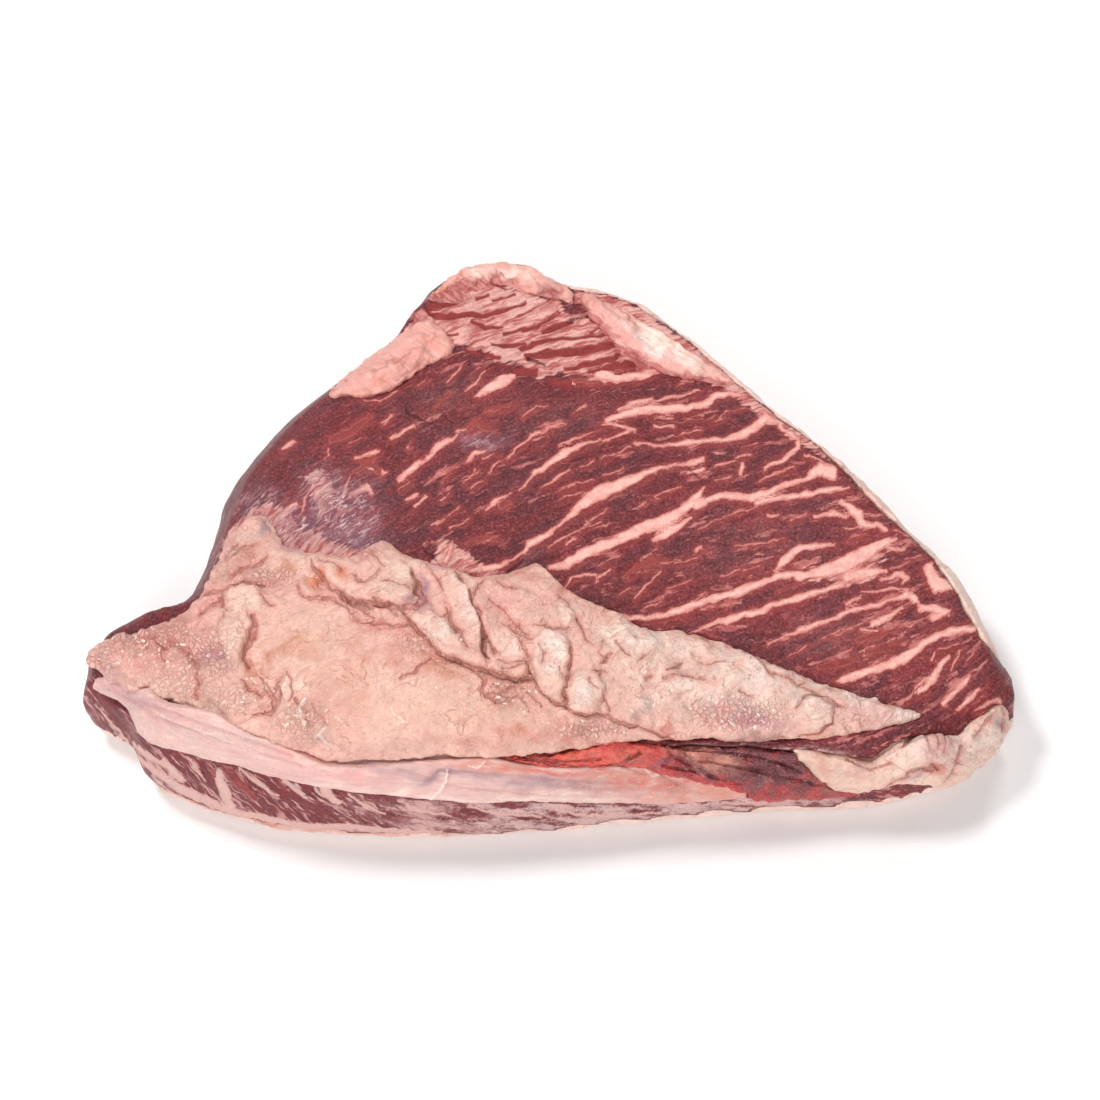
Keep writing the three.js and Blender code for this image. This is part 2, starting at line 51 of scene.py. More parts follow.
import bmesh
import bpy
import numpy as np
from bpy.props import FloatProperty, FloatVectorProperty, IntProperty, PointerProperty
from mathutils import Matrix, Vector

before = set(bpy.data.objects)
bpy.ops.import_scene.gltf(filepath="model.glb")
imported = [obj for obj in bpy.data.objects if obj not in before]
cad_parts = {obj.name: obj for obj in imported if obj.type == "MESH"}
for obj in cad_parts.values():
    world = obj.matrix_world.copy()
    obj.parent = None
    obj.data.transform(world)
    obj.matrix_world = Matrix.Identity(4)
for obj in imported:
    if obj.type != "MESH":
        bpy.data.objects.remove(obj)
CAD_LOW, CAD_HIGH = (np.array(corner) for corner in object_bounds())

MM = 0.001
WAVES = 28  # waves that a swell is the sum of
INSIDE_BOX = 0.02 * MM  # how far the pieces stay inside the CAD box
FOLD_BACK = 0.2  # points that face the camera less than this carry nothing read in the picture
CREASE_DEPTH = 0.72  # share of a crease's depth that goes into the shape
CREASE_EDGE = 0.8  # pixels by which a crease's sides reach past its half width
LINE_END = 1.2  # pixels by which a drawn line reaches past its last point
SLAB_RELIEF = 1.35  # how much stronger the slab's forms are than the other pieces'
SCRAPED = 2.4 * MM  # how far the thin fat sinks into the lean outside its outline

# The camera, and the size of its picture in pixels.
PICTURE = 1100
LENS = 85.0
SENSOR = 36.0
CAMERA_HEIGHT = math.radians(54)
CAMERA_DISTANCE = 0.873
CAMERA_TARGET = np.array((0.0002623, -0.0118059, 0.028))
CAMERA_BACK = np.array((0, -math.cos(CAMERA_HEIGHT), math.sin(CAMERA_HEIGHT)))
CAMERA_RIGHT = np.array((1.0, 0, 0))
CAMERA_UP = np.array((0, math.sin(CAMERA_HEIGHT), math.cos(CAMERA_HEIGHT)))
CAMERA_PLACE = CAMERA_TARGET + CAMERA_BACK * CAMERA_DISTANCE

# The studio: name, power in watts, size and place of each lamp.
LAMPS = (
    ("Key light", 9.5, 0.34, (-0.55, 0.2, 1.2)), ("Fill light", 12.5, 1.0, (-0.1, -1.25, 0.75)),
    ("Back light", 5.0, 0.42, (0.4, 0.95, 1.05)),
)
LAMPS_AIM = (0, 0, 0.03)
SKY = 0.34
FLOOR_REACH = 6.0


def tone(red, green, blue):
    """A colour read as 0 to 255 per channel, as linear light."""
    def linear(level):
        share = level / 255
        return share / 12.92 if share <= 0.04045 else ((share + 0.055) / 1.055) ** 2.4
    return (linear(red), linear(green), linear(blue))


# Pixel coordinates of the picture, read off it. A stroke is a row of (x, y, half width)
# points, or a half width followed by (x, y) points where it is even.

BROAD_VEINS = (
    ((608, 420, 3), (625, 415, 4), (641, 411, 5), (666, 411, 5), (686, 408, 4.5), (706, 403, 4),
     (716, 395, 3.5), (729, 393, 2.5), (739, 395, 2)),
    ((636, 444, 1.5), (663, 446, 2), (686, 443, 3), (709, 441, 3), (726, 440, 3.5), (742, 435, 4.5),
     (759, 424, 5), (766, 418, 4.5), (779, 421, 3), (783, 429, 2.5), (797, 439, 2.5),
     (798, 448, 3), (787, 458, 3), (774, 464, 2.5), (766, 468, 2)),
    ((600, 374, 5), (617, 378, 5), (641, 375, 4), (663, 368, 2)),
    ((486, 569, 4), (500, 566, 3), (512, 560, 1.5), (525, 551, 2), (530, 543, 4), (541, 538, 4),
     (552, 531, 2), (562, 524, 2), (571, 515, 3.5), (584, 503, 6), (599, 493, 7.5), (613, 487, 6),
     (635, 478, 5), (653, 470, 3), (673, 465, 1.8), (689, 464, 2), (701, 460, 3.5)),
    ((552, 568, 3), (566, 565, 5), (581, 556, 6), (599, 548, 6), (613, 543, 5), (628, 535, 6),
     (643, 527, 6.5), (659, 523, 7), (673, 516, 6), (688, 506, 5), (698, 496, 4), (704, 488, 1)),
    ((655, 538, 2), (662, 535, 5), (673, 529, 5), (690, 519, 2)),
    ((698, 505, 5), (709, 500, 3.5), (726, 496, 3.5), (742, 498, 4), (750, 498, 4.5), (767, 493, 4),
     (783, 486, 3), (805, 480, 3), (821, 470, 6), (830, 473, 7)),
    ((759, 503, 3), (775, 498, 3), (793, 496, 3), (813, 493, 3), (825, 490, 3.5), (848, 488, 1.5)),
    ((843, 503, 3), (850, 508, 4), (858, 514, 6), (863, 524, 5), (873, 526, 3)),
    ((777, 568, 2), (783, 562, 5), (793, 553, 4), (800, 548, 4), (820, 546, 3), (833, 544, 2)),
    ((800, 576, 5), (820, 572, 6), (843, 566, 8), (858, 558, 8), (873, 549, 6), (886, 543, 5),
     (894, 539, 2)),
    ((848, 577, 5), (862, 574, 6), (876, 572, 4), (884, 571, 2)),
    ((627, 618, 4), (644, 617, 3), (666, 615, 3), (687, 608, 4), (702, 603, 4), (718, 597, 4.5),
     (733, 594, 4.5), (748, 588, 4.5), (764, 582, 4), (779, 576, 4), (794, 574, 4), (820, 574, 5)),
    ((696, 632, 1.5), (707, 626, 2), (718, 621, 3), (727, 621, 4), (742, 615, 4), (761, 611, 4),
     (771, 605, 3), (794, 600, 4), (810, 594, 3.5), (826, 590, 3.5), (841, 585, 3)),
    ((770, 643, 1.3), (791, 634, 1.5), (800, 630, 3), (818, 624, 3), (837, 618, 2.5), (848, 611, 3),
     (863, 608, 2.5), (882, 604, 2.5), (897, 598, 2), (909, 595, 4), (914, 599, 5)),
    ((873, 624, 3), (888, 618, 4), (901, 609, 2)),
    ((922, 607, 4), (932, 608, 5), (947, 612, 3), (935, 617, 4)),
    ((929, 570, 6), (936, 585, 7), (948, 585, 5)),
    ((972, 629, 4), (954, 631, 4), (939, 636, 4.5), (925, 642, 4), (916, 651, 5), (903, 658, 5),
     (891, 664, 5), (873, 670, 4.5), (859, 674, 4.5), (844, 680, 4.5), (838, 681, 2)),
    ((920, 693, 3), (929, 684, 3.5), (936, 674, 4), (941, 665, 4), (948, 658, 3)),
    ((945, 703, 3), (955, 692, 3), (966, 681, 3.5), (969, 677, 2)),
    ((975, 711, 1), (989, 702, 2), (997, 699, 2.5), (999, 706, 2), (997, 718, 2)),
    ((476, 396, 1), (487, 390, 5), (506, 381, 6), (512, 378, 4)),
    ((429, 458, 2.5), (439, 446, 3.5), (456, 436, 1.5)),
    ((520, 490, 1), (533, 476, 2), (546, 466, 3.5), (563, 453, 4.5), (573, 448, 3), (599, 440, 1.2)),
    ((399, 479, 1.5), (411, 471, 3), (419, 463, 2.5), (427, 461, 1)),
    (4, (690, 472), (702, 470)),
    (5, (907, 593), (917, 601)),
    (5, (876, 525), (884, 530)),
    (3, (958, 709), (969, 699), (979, 690)),
)
THIN_VEINS = (
    (3, (656, 428), (672, 428)), (1.2, (683, 434), (699, 431)), (1.8, (650, 406), (666, 398),
    (686, 395), (698, 390)), (3, (620, 409), (636, 403), (650, 400)), (2, (603, 424), (618, 425),
    (633, 431), (622, 436), (605, 441)), (1.2, (603, 459), (630, 448)), (3, (690, 462), (703, 458)),
    (2, (738, 456), (750, 454)), (0.8, (709, 418), (714, 415)), (1.2, (720, 418), (726, 410)),
    (0.8, (713, 423), (725, 417)), (0.8, (731, 410), (744, 408)), (0.7, (678, 386), (688, 380)),
    (1.4, (560, 445), (577, 438), (593, 432)), (2, (716, 465), (734, 461)), (4, (742, 466), (741, 473)),
    (3, (698, 549), (700, 548)), (1, (675, 563), (696, 557)), (1.1, (603, 458), (621, 452), (629, 447)),
    (0.8, (560, 490), (575, 483), (590, 481)), (1, (570, 496), (585, 491)), (1, (586, 521), (601, 513)),
    (0.8, (640, 506), (646, 501)), (1, (560, 475), (570, 470)), (1.1, (550, 547), (569, 535),
    (584, 529), (599, 524)), (1.1, (585, 525), (606, 510)), (2, (566, 544), (574, 540)), (3, (816, 516),
    (833, 513), (846, 516)), (3, (886, 549), (903, 549)), (2.5, (916, 538), (923, 543)), (3, (882, 580),
    (900, 574), (906, 577), (903, 582)), (1.5, (845, 528), (869, 529)), (1.2, (896, 531), (914, 538)),
    (1, (864, 513), (881, 514)), (1, (736, 546), (767, 543), (784, 538)), (2.5, (769, 516), (777, 515)),
    (1, (690, 602), (705, 592)), (1.3, (863, 592), (876, 592), (891, 589), (911, 589)), (3, (848, 604),
    (859, 599)), (2.5, (862, 631), (876, 631)), (1.3, (903, 703), (913, 692), (923, 680), (936, 673)),
    (2, (932, 659), (935, 654)), (1, (365, 401), (380, 402), (396, 391)), (1.2, (449, 380), (461, 366)),
    (0.8, (471, 376), (479, 368)), (1.2, (466, 390), (476, 383), (484, 373)), (0.8, (419, 383),
    (424, 380)), (0.7, (418, 368), (423, 361)), (0.9, (524, 415), (536, 406), (547, 405)),
    (1.3, (574, 413), (584, 406)), (2, (458, 431), (463, 430)), (2.5, (468, 459), (476, 453),
    (484, 451)), (0.8, (484, 458), (496, 454)), (1.4, (509, 459), (516, 449), (532, 436), (562, 423)),
    (0.8, (348, 444), (361, 438)), (1.5, (386, 423), (391, 416)), (2, (391, 438), (413, 428)),
    (1, (408, 449), (411, 443)), (2.5, (360, 456), (378, 452)), (2, (370, 469), (385, 473)),
    (1.3, (465, 484), (475, 471)), (1.3, (490, 472), (494, 466), (500, 462)), (1, (472, 488),
    (481, 482)), (1.5, (442, 499), (448, 494)), (2.2, (486, 509), (493, 503), (509, 494)),
    (1, (437, 525), (446, 518)), (1, (450, 515), (458, 507)), (1.2, (452, 528), (468, 519)),
    (1.3, (541, 488), (555, 480), (568, 471)), (0.8, (583, 466), (593, 462)), (1, (605, 475),
    (622, 468)), (0.8, (565, 488), (593, 480)), (0.8, (565, 496), (590, 491)), (1.5, (565, 587),
    (571, 579), (585, 575), (596, 576), (597, 582)), (2.5, (599, 578), (609, 572)), (1.5, (635, 598),
    (646, 587), (660, 573)), (0.8, (620, 595), (630, 589)), (1, (641, 611), (660, 602)),
    (1.5, (328, 449), (329, 455)), (2.5, (356, 457), (375, 451)), (1.5, (383, 422), (392, 416)),
    (3, (393, 438), (412, 427)), (1, (400, 488), (408, 483)), (3, (416, 505), (425, 496)),
    (2.5, (408, 498), (417, 493)), (1, (433, 526), (446, 518)), (3, (283, 448), (293, 442)),
    (1.5, (805, 455), (820, 461), (830, 466)), (1.2, (760, 480), (778, 473), (792, 468)),
    (1, (655, 497), (668, 490), (680, 487)), (1, (720, 520), (738, 512), (756, 509)), (1.2, (700, 528),
    (716, 521)), (1, (792, 520), (806, 513)), (1.2, (716, 480), (730, 477)), (1, (820, 640), (836, 633),
    (850, 629)), (1, (790, 655), (806, 646)), (1, (860, 652), (875, 645)), (1.2, (838, 655),
    (850, 650)), (1, (745, 570), (760, 566)), (1, (722, 577), (738, 570)), (0.9, (640, 560),
    (656, 549)), (0.9, (600, 566), (618, 556)), (0.9, (668, 590), (690, 580)), (1, (905, 560),
    (920, 556)), (1.4, (940, 650), (956, 645)), (1.5, (952, 668), (960, 652)), (1.3, (968, 660),
    (975, 650)), (1.2, (890, 640), (905, 632)), (1.2, (910, 625), (922, 622)), (1, (655, 420),
    (671, 419)), (1, (688, 420), (702, 418)), (1, (742, 448), (756, 444)),
)
RED_VEINS = (
    ((626, 578, 2), (641, 566, 3), (652, 560, 3), (666, 560, 2)), (3.5, (648, 571), (658, 568)),
    (2.5, (436, 405), (449, 393)), (3.5, (487, 411), (509, 406)),
    (3, (468, 429), (476, 421), (484, 428), (494, 431)),
    ((333, 439, 3.5), (350, 433, 3.5), (368, 418, 2.5)), (4, (356, 471), (373, 458)),
    (2, (442, 482), (453, 469)), ((467, 544, 1.5), (475, 540, 2), (489, 538, 2.5), (500, 540, 2)),
    (5, (502, 506), (508, 503)), (4, (362, 461), (381, 473)), (3, (575, 380), (598, 382)),
    (4, (820, 668), (840, 663), (856, 660)), (3, (858, 640), (880, 634), (900, 628)),
    (4, (868, 653), (888, 646), (905, 640)), (3, (706, 634), (714, 638)),
    (3, (780, 590), (800, 584)), (3, (850, 540), (864, 535)),
)
APEX_STREAKS = (
    (5, (430, 306), (447, 304), (460, 300)),
    ((430, 316, 4), (450, 317, 4), (470, 314, 3), (485, 315, 3), (505, 308, 2), (524, 303, 1.5)),
    (2.5, (477, 299), (487, 296)), (2, (494, 299), (513, 295)), (2, (488, 283), (505, 290)),
    (3, (473, 322), (485, 326), (501, 326)), (1, (506, 320), (523, 313), (539, 305)),
    ((505, 333, 2.5), (523, 328, 2), (538, 325, 1.5), (556, 311, 1)),
    (2, (523, 331), (536, 326), (546, 320), (559, 314)), (4, (544, 331), (556, 326), (571, 321)),
    (3, (493, 344), (505, 346), (523, 344)),
    ((523, 349, 2.5), (533, 344, 2.5), (549, 339, 2), (571, 338, 2), (604, 335, 1.5), (621, 333, 1.5)),
    (4.5, (528, 356), (546, 353), (579, 351), (604, 346), (627, 343)), (1.5, (591, 332), (609, 326)),
    (2, (592, 320), (611, 325), (627, 341)), (3, (566, 368), (587, 363), (612, 358), (627, 351)),
    (4, (591, 371), (612, 366), (637, 363), (662, 364)), (2.5, (614, 374), (634, 369)),
    (10, (545, 292), (558, 290)), (7, (515, 372), (533, 372)), (6, (553, 381), (571, 383)),
    (4, (488, 355), (498, 357)), (4, (466, 349), (475, 353)), (2, (440, 336), (456, 334)),
    (2.5, (450, 290), (466, 287)), (2, (500, 364), (512, 368)),
)
APEX_MEMBRANE = (
    (425, 330), (432, 345), (450, 340), (470, 342), (485, 352), (500, 362), (520, 366), (540, 378),
    (556, 372), (600, 380), (625, 375), (640, 378), (665, 370), (660, 362), (640, 350), (620, 330),
    (600, 318), (570, 318), (560, 300), (530, 295), (500, 285), (470, 280), (440, 295),
)
PALE_TUFT = (
    (308, 479), (314, 471), (323, 471), (331, 485), (336, 496), (334, 510), (326, 520), (320, 517),
    (315, 502), (311, 491),
)
PALE_WEDGES = (
    ((800, 571), (826, 568), (848, 561), (862, 554), (882, 549), (888, 554), (884, 560), (872, 567),
     (882, 573), (869, 579), (856, 582), (848, 585), (829, 579), (800, 580)),
    PALE_TUFT,
)
MEMBRANE_SHREDS = (
    ((350, 476, 1), (346, 491, 2), (340, 508, 3)), (4, (352, 496), (367, 488), (371, 493)),
    (4, (273, 529), (283, 515), (296, 505)), ((446, 562, 3), (452, 547, 2), (453, 543, 0.7)),
    (2, (335, 520), (345, 512), (356, 508)), (1.5, (300, 520), (306, 500), (310, 490)),
    (2, (318, 530), (330, 524)), (1.5, (360, 520), (372, 510)), (3, (257, 512), (268, 510)),
)
# Pink film that spreads from the slab onto the lean.
SLAB_FRINGE = (
    ((214, 570), (226, 540), (240, 520), (262, 504), (284, 508), (300, 526), (322, 538), (348, 546),
     (366, 556), (376, 572), (300, 590)),
    ((424, 570), (440, 542), (452, 542), (470, 558), (500, 572), (520, 578), (524, 592), (440, 590)),
)
# Which way the muscle's grain runs where no vein shows it.
GRAIN_HINTS = (
    ((250, 470), (300, 430)), ((270, 420), (320, 390)), ((330, 520), (380, 480)),
    ((390, 540), (430, 510)), ((600, 300), (660, 300)), ((560, 400), (600, 390)),
    ((860, 450), (920, 445)), ((900, 480), (960, 475)), ((950, 560), (1000, 540)),
    ((700, 640), (760, 620)), ((990, 650), (1020, 610)), ((890, 720), (930, 690)),
    ((960, 730), (985, 700)), ((480, 300), (530, 290)),
)
# Where a thin bluish film lies on the lean: x, y, half length, half height, strength.
FILM_PATCHES = (
    (342, 512, 36, 34, 1.0), (292, 528, 34, 22, 0.9), (318, 480, 22, 16, 0.6), (375, 548, 16, 12, 0.8),
    (482, 442, 26, 8, 0.5), (258, 505, 26, 20, 0.5),
)
# The lean under the slab, the sheath and the tissue, where it keeps its coarse faces.
COVERED_LEAN = (
    (128, 660), (222, 600), (330, 606), (430, 640), (540, 628), (700, 668), (800, 712), (768, 778),
    (640, 794), (420, 790), (250, 758), (150, 712),
)
RIM_FILM = (
    (572, 286), (620, 296), (680, 336), (740, 380), (790, 424), (836, 462), (800, 444), (740, 400),
    (700, 374), (640, 366), (604, 334),
)
DRY_CRACKS = (
    (1.2, (407, 410), (413, 415), (421, 420), (430, 423)), (0.8, (446, 418), (453, 421)),
    (2, (570, 319), (573, 318)), (3, (530, 358), (543, 363)), (1.6, (500, 578), (512, 569), (525, 559)),
    (1.2, (366, 551), (374, 560), (381, 568)), (1, (690, 470), (700, 476)),
    (1.3, (436, 560), (430, 552), (424, 548)),
)

# Seam fat. A crease is (depth in mm, half width, points...), and a lip is (height in mm, reach,
# points...) with its raised side above the line when the line runs to the right.
SLAB_CREASES = (
    (1.2, 1.5, (200, 596), (212, 592), (223, 592), (234, 587), (244, 583), (257, 582), (264, 584)),
    (0.6, 1.2, (200, 616), (211, 604), (221, 595)), (0.7, 1.1, (262, 596), (267, 599), (272, 603)),
    (1.6, 1.8, (253, 615), (254, 626), (252, 636), (250, 642), (246, 650), (245, 658), (248, 665)),
    (0.8, 1.2, (243, 682), (250, 690), (261, 694)), (0.9, 1.3, (261, 679), (267, 688), (273, 700),
    (272, 708), (267, 713)), (0.6, 1, (287, 671), (290, 678), (289, 685), (292, 691), (290, 698)),
    (0.6, 1, (277, 685), (280, 696), (276, 704)), (0.5, 0.8, (283, 673), (276, 682), (273, 693)),
    (1.1, 1.5, (254, 716), (261, 714), (267, 714)), (0.9, 1.5, (313, 569), (321, 577), (327, 584),
    (338, 592), (347, 598), (361, 606), (371, 609)), (0.8, 1.3, (296, 586), (304, 598), (315, 599),
    (330, 598), (338, 603), (347, 610), (354, 618)), (1.0, 1.2, (353, 574), (358, 581), (365, 584),
    (376, 577), (379, 572)), (0.6, 1.1, (382, 581), (390, 580), (399, 583), (408, 589)),
    (1.5, 3.5, (413, 574), (420, 586), (425, 600), (414, 606), (404, 606)), (1.6, 1.8, (340, 594),
    (353, 600), (365, 604), (388, 604), (400, 609), (408, 618), (419, 632), (430, 643), (437, 651),
    (447, 658), (460, 661), (470, 666), (479, 670), (489, 674), (503, 677), (523, 680), (529, 680)),
    (0.7, 1.2, (353, 618), (368, 624), (384, 624), (397, 627), (408, 624)), (1.4, 1.8, (458, 572),
    (463, 581), (469, 592), (474, 602), (479, 613), (483, 626), (484, 635), (483, 649), (488, 656)),
    (2.4, 2.3, (484, 633), (490, 641), (495, 650)), (2.0, 1.8, (483, 638), (485, 655)),
    (0.9, 1.3, (448, 612), (452, 620), (457, 630), (462, 638), (466, 645)), (0.6, 0.9, (504, 667),
    (515, 668), (523, 666)), (0.5, 0.8, (493, 671), (505, 672)), (1.3, 1.6, (528, 661), (530, 670),
    (531, 679), (537, 687), (547, 698), (557, 703), (567, 706)), (1.0, 1.4, (570, 647), (571, 659),
    (570, 673), (567, 684), (565, 694), (567, 706)), (1.3, 1.6, (567, 706), (575, 713), (585, 715),
    (596, 715), (608, 717), (620, 722), (634, 727)), (0.6, 1.1, (535, 624), (547, 626), (561, 630),
    (568, 628)), (0.6, 1, (578, 620), (581, 627), (585, 638), (592, 644)), (0.9, 1, (602, 662),
    (609, 656)), (0.6, 1, (595, 669), (608, 672)), (0.9, 1.3, (470, 666), (479, 675), (484, 680),
    (483, 689), (487, 696), (495, 701), (504, 701), (512, 701)), (0.7, 1, (490, 694), (502, 694),
    (516, 696)), (0.7, 1, (522, 687), (530, 693), (536, 703), (540, 707)), (0.7, 1.1, (473, 596),
    (479, 586), (484, 583)), (0.6, 1.1, (498, 581), (507, 586), (518, 590)), (0.8, 1.2, (515, 623),
    (523, 630), (528, 635)), (0.5, 1, (520, 640), (526, 650), (530, 660)), (1.0, 1, (669, 670),
    (676, 667), (682, 662)), (0.9, 1, (647, 679), (651, 676)), (0.8, 1, (604, 660), (610, 655)),
    (0.5, 0.8, (600, 676), (606, 671)), (0.4, 1.2, (665, 678), (686, 675), (706, 678)),
    (0.6, 1.3, (731, 643), (753, 657), (773, 673), (800, 684), (824, 696), (843, 706)),
    (0.7, 1.2, (798, 706), (804, 698), (820, 694), (835, 706), (833, 722), (820, 731), (804, 739)),
    (0.9, 1.4, (640, 727), (657, 735), (673, 741), (692, 745)), (0.5, 1, (798, 684), (803, 682)),
    (0.6, 1.2, (170, 643), (181, 645), (189, 652), (195, 659), (197, 673), (197, 687), (196, 698)),
    (0.8, 1.6, (158, 645), (161, 648), (164, 652)), (0.7, 1, (400, 678), (414, 670), (425, 662),
    (430, 658)), (0.4, 1, (310, 700), (318, 712), (324, 722)), (0.4, 1, (296, 700), (304, 712),
    (309, 724)), (0.4, 0.9, (560, 668), (563, 680)), (0.5, 1, (600, 690), (606, 700), (612, 712)),
    (0.5, 1, (590, 682), (596, 690)), (0.5, 1, (616, 640), (622, 650), (630, 655)),
    (0.6, 1.2, (226, 562), (240, 551), (256, 543)), (0.5, 1.1, (206, 575), (222, 560), (238, 545)),
    (0.5, 1, (180, 590), (198, 574), (214, 560)), (0.6, 1.3, (236, 574), (252, 566), (266, 558)),
    (0.5, 1, (320, 560), (332, 566), (344, 572)), (0.5, 1.1, (372, 552), (378, 560), (384, 566)),
    (0.5, 1, (428, 566), (436, 578), (444, 592)), (0.5, 1, (416, 586), (424, 596)),
    (0.4, 0.9, (700, 660), (712, 664), (722, 662)), (0.4, 0.9, (742, 690), (752, 694)),
    (1.2, 0.9, (189, 592), (194, 595), (198, 597)), (1.4, 1.3, (219, 594), (221, 598), (219, 602)),
    (0.9, 0.8, (226, 612), (227, 617), (225, 621)), (0.8, 0.7, (262, 596), (268, 600), (273, 604)),
    (0.8, 0.8, (170, 648), (160, 655), (166, 662)), (0.7, 0.8, (172, 646), (184, 650), (192, 658)),
    (0.6, 0.8, (152, 650), (146, 644), (158, 640)), (0.6, 0.7, (312, 566), (318, 572)),
    (0.9, 0.8, (345, 598), (352, 604), (360, 610), (372, 618)), (0.7, 0.7, (352, 612), (362, 620),
    (374, 626)), (0.8, 0.8, (376, 598), (388, 606), (396, 616)), (0.7, 0.7, (444, 604), (446, 612),
    (442, 618)), (1.0, 0.9, (448, 614), (452, 622), (456, 632)), (0.7, 0.7, (500, 660), (512, 662),
    (526, 660)), (0.6, 0.7, (494, 684), (504, 690), (516, 686)), (0.6, 0.7, (520, 698), (528, 704),
    (530, 712)), (0.6, 0.7, (604, 640), (600, 650), (606, 660)), (0.6, 0.7, (540, 648), (546, 656),
    (544, 664)), (0.7, 0.8, (505, 622), (516, 632), (530, 640)), (0.6, 0.7, (492, 600), (504, 608),
    (512, 618)), (0.4, 0.9, (640, 660), (650, 652)), (0.5, 1, (560, 596), (568, 604), (572, 612)),
)
SLAB_LIPS = (
    (0.9, 9, (340, 594), (365, 603), (388, 603), (407, 614), (416, 629), (432, 649), (447, 657),
     (462, 661), (478, 670), (503, 676), (528, 679)),
    (1.0, 8, (531, 683), (543, 697), (557, 703), (567, 706), (575, 713), (596, 715), (623, 723),
     (638, 727), (660, 736), (690, 746)),
    (0.8, 10, (313, 569), (327, 584), (347, 598), (371, 609)),
    (0.6, 8, (296, 586), (304, 598), (330, 598), (347, 610)),
    (0.5, 7, (243, 682), (250, 690), (261, 694)),
    (0.5, 7, (470, 666), (484, 680), (487, 696), (504, 701), (520, 702)),
    (0.7, 9, (137, 684), (164, 697), (192, 707), (214, 720), (244, 730), (271, 739), (294, 753)),
)
SLAB_LOBES = (
    (1.3, 7, (222, 613), (246, 612), (253, 620), (252, 636), (246, 650), (240, 662), (228, 664),
     (220, 650), (218, 630)),
    (0.9, 7, (229, 592), (240, 585), (256, 584), (264, 592), (266, 606), (258, 614), (240, 615),
     (230, 606)),
    (1.3, 8, (300, 560), (318, 553), (334, 552), (350, 558), (372, 566), (388, 572), (380, 590),
     (378, 604), (360, 603), (342, 592), (328, 582), (314, 570)),
    (1.1, 6, (353, 573), (366, 562), (380, 570), (378, 577), (366, 584), (358, 581)),
    (1.5, 7, (378, 581), (381, 572), (390, 564), (401, 563), (411, 569), (417, 577), (414, 590),
     (413, 601), (399, 597), (388, 590)),
    (1.5, 8, (407, 613), (418, 610), (430, 612), (444, 618), (456, 634), (468, 648), (486, 658),
     (488, 672), (468, 662), (448, 658), (436, 650), (420, 632)),
    (1.8, 8, (440, 578), (456, 572), (464, 584), (472, 600), (479, 616), (482, 632), (480, 648),
     (470, 646), (460, 632), (450, 612), (444, 596)),
    (1.0, 6, (490, 662), (508, 664), (527, 662), (530, 676), (522, 679), (503, 677), (488, 672)),
    (1.6, 8, (534, 638), (544, 630), (558, 633), (568, 643), (571, 660), (569, 680), (564, 700),
     (556, 702), (543, 694), (534, 680), (531, 660)),
    (1.3, 8, (572, 672), (586, 668), (600, 674), (606, 690), (602, 706), (594, 715), (580, 714),
     (569, 706), (567, 690)),
    (1.1, 3, (562, 612), (570, 609), (577, 613), (574, 620), (566, 622)),
    (0.8, 3, (578, 614), (584, 612), (586, 617), (580, 620)),
    (0.9, 3, (640, 700), (648, 697), (652, 702), (642, 712), (634, 714)),
    (0.8, 3, (623, 712), (638, 703), (644, 709), (630, 716)),
    (0.9, 8, (800, 700), (820, 695), (833, 706), (832, 722), (818, 730), (802, 726)),
    (0.8, 9, (616, 612), (630, 622), (652, 632), (700, 636), (720, 650), (690, 662), (640, 652),
     (610, 632)),
    (0.7, 9, (500, 590), (520, 588), (548, 600), (560, 616), (540, 622), (512, 610)),
    (0.7, 6, (328, 551), (352, 540), (368, 532), (378, 535), (376, 541), (368, 551), (350, 556)),
    (0.6, 5, (244, 679), (252, 680), (262, 688), (268, 700), (262, 696), (252, 688)),
    (0.9, 9, (100, 640), (140, 622), (170, 618), (190, 630), (180, 660), (140, 668), (108, 666)),
    (0.7, 8, (196, 662), (220, 668), (238, 690), (250, 712), (226, 714), (204, 696)),
    (0.7, 8, (270, 716), (300, 722), (320, 742), (300, 748), (276, 736), (262, 724)),
)
SLAB_PITS = (
    (1.6, 254, 668, 8, 5), (1.0, 193, 595, 5, 3), (1.0, 258, 694, 4, 6), (1.4, 320, 585, 7, 7),
    (0.8, 345, 573, 5, 5), (1.0, 530, 672, 4, 10), (0.9, 281, 686, 5, 12), (0.8, 414, 594, 6, 14),
    (0.6, 296, 660, 22, 10), (0.5, 500, 622, 12, 16), (0.8, 690, 705, 26, 9), (0.6, 760, 712, 20, 7),
)
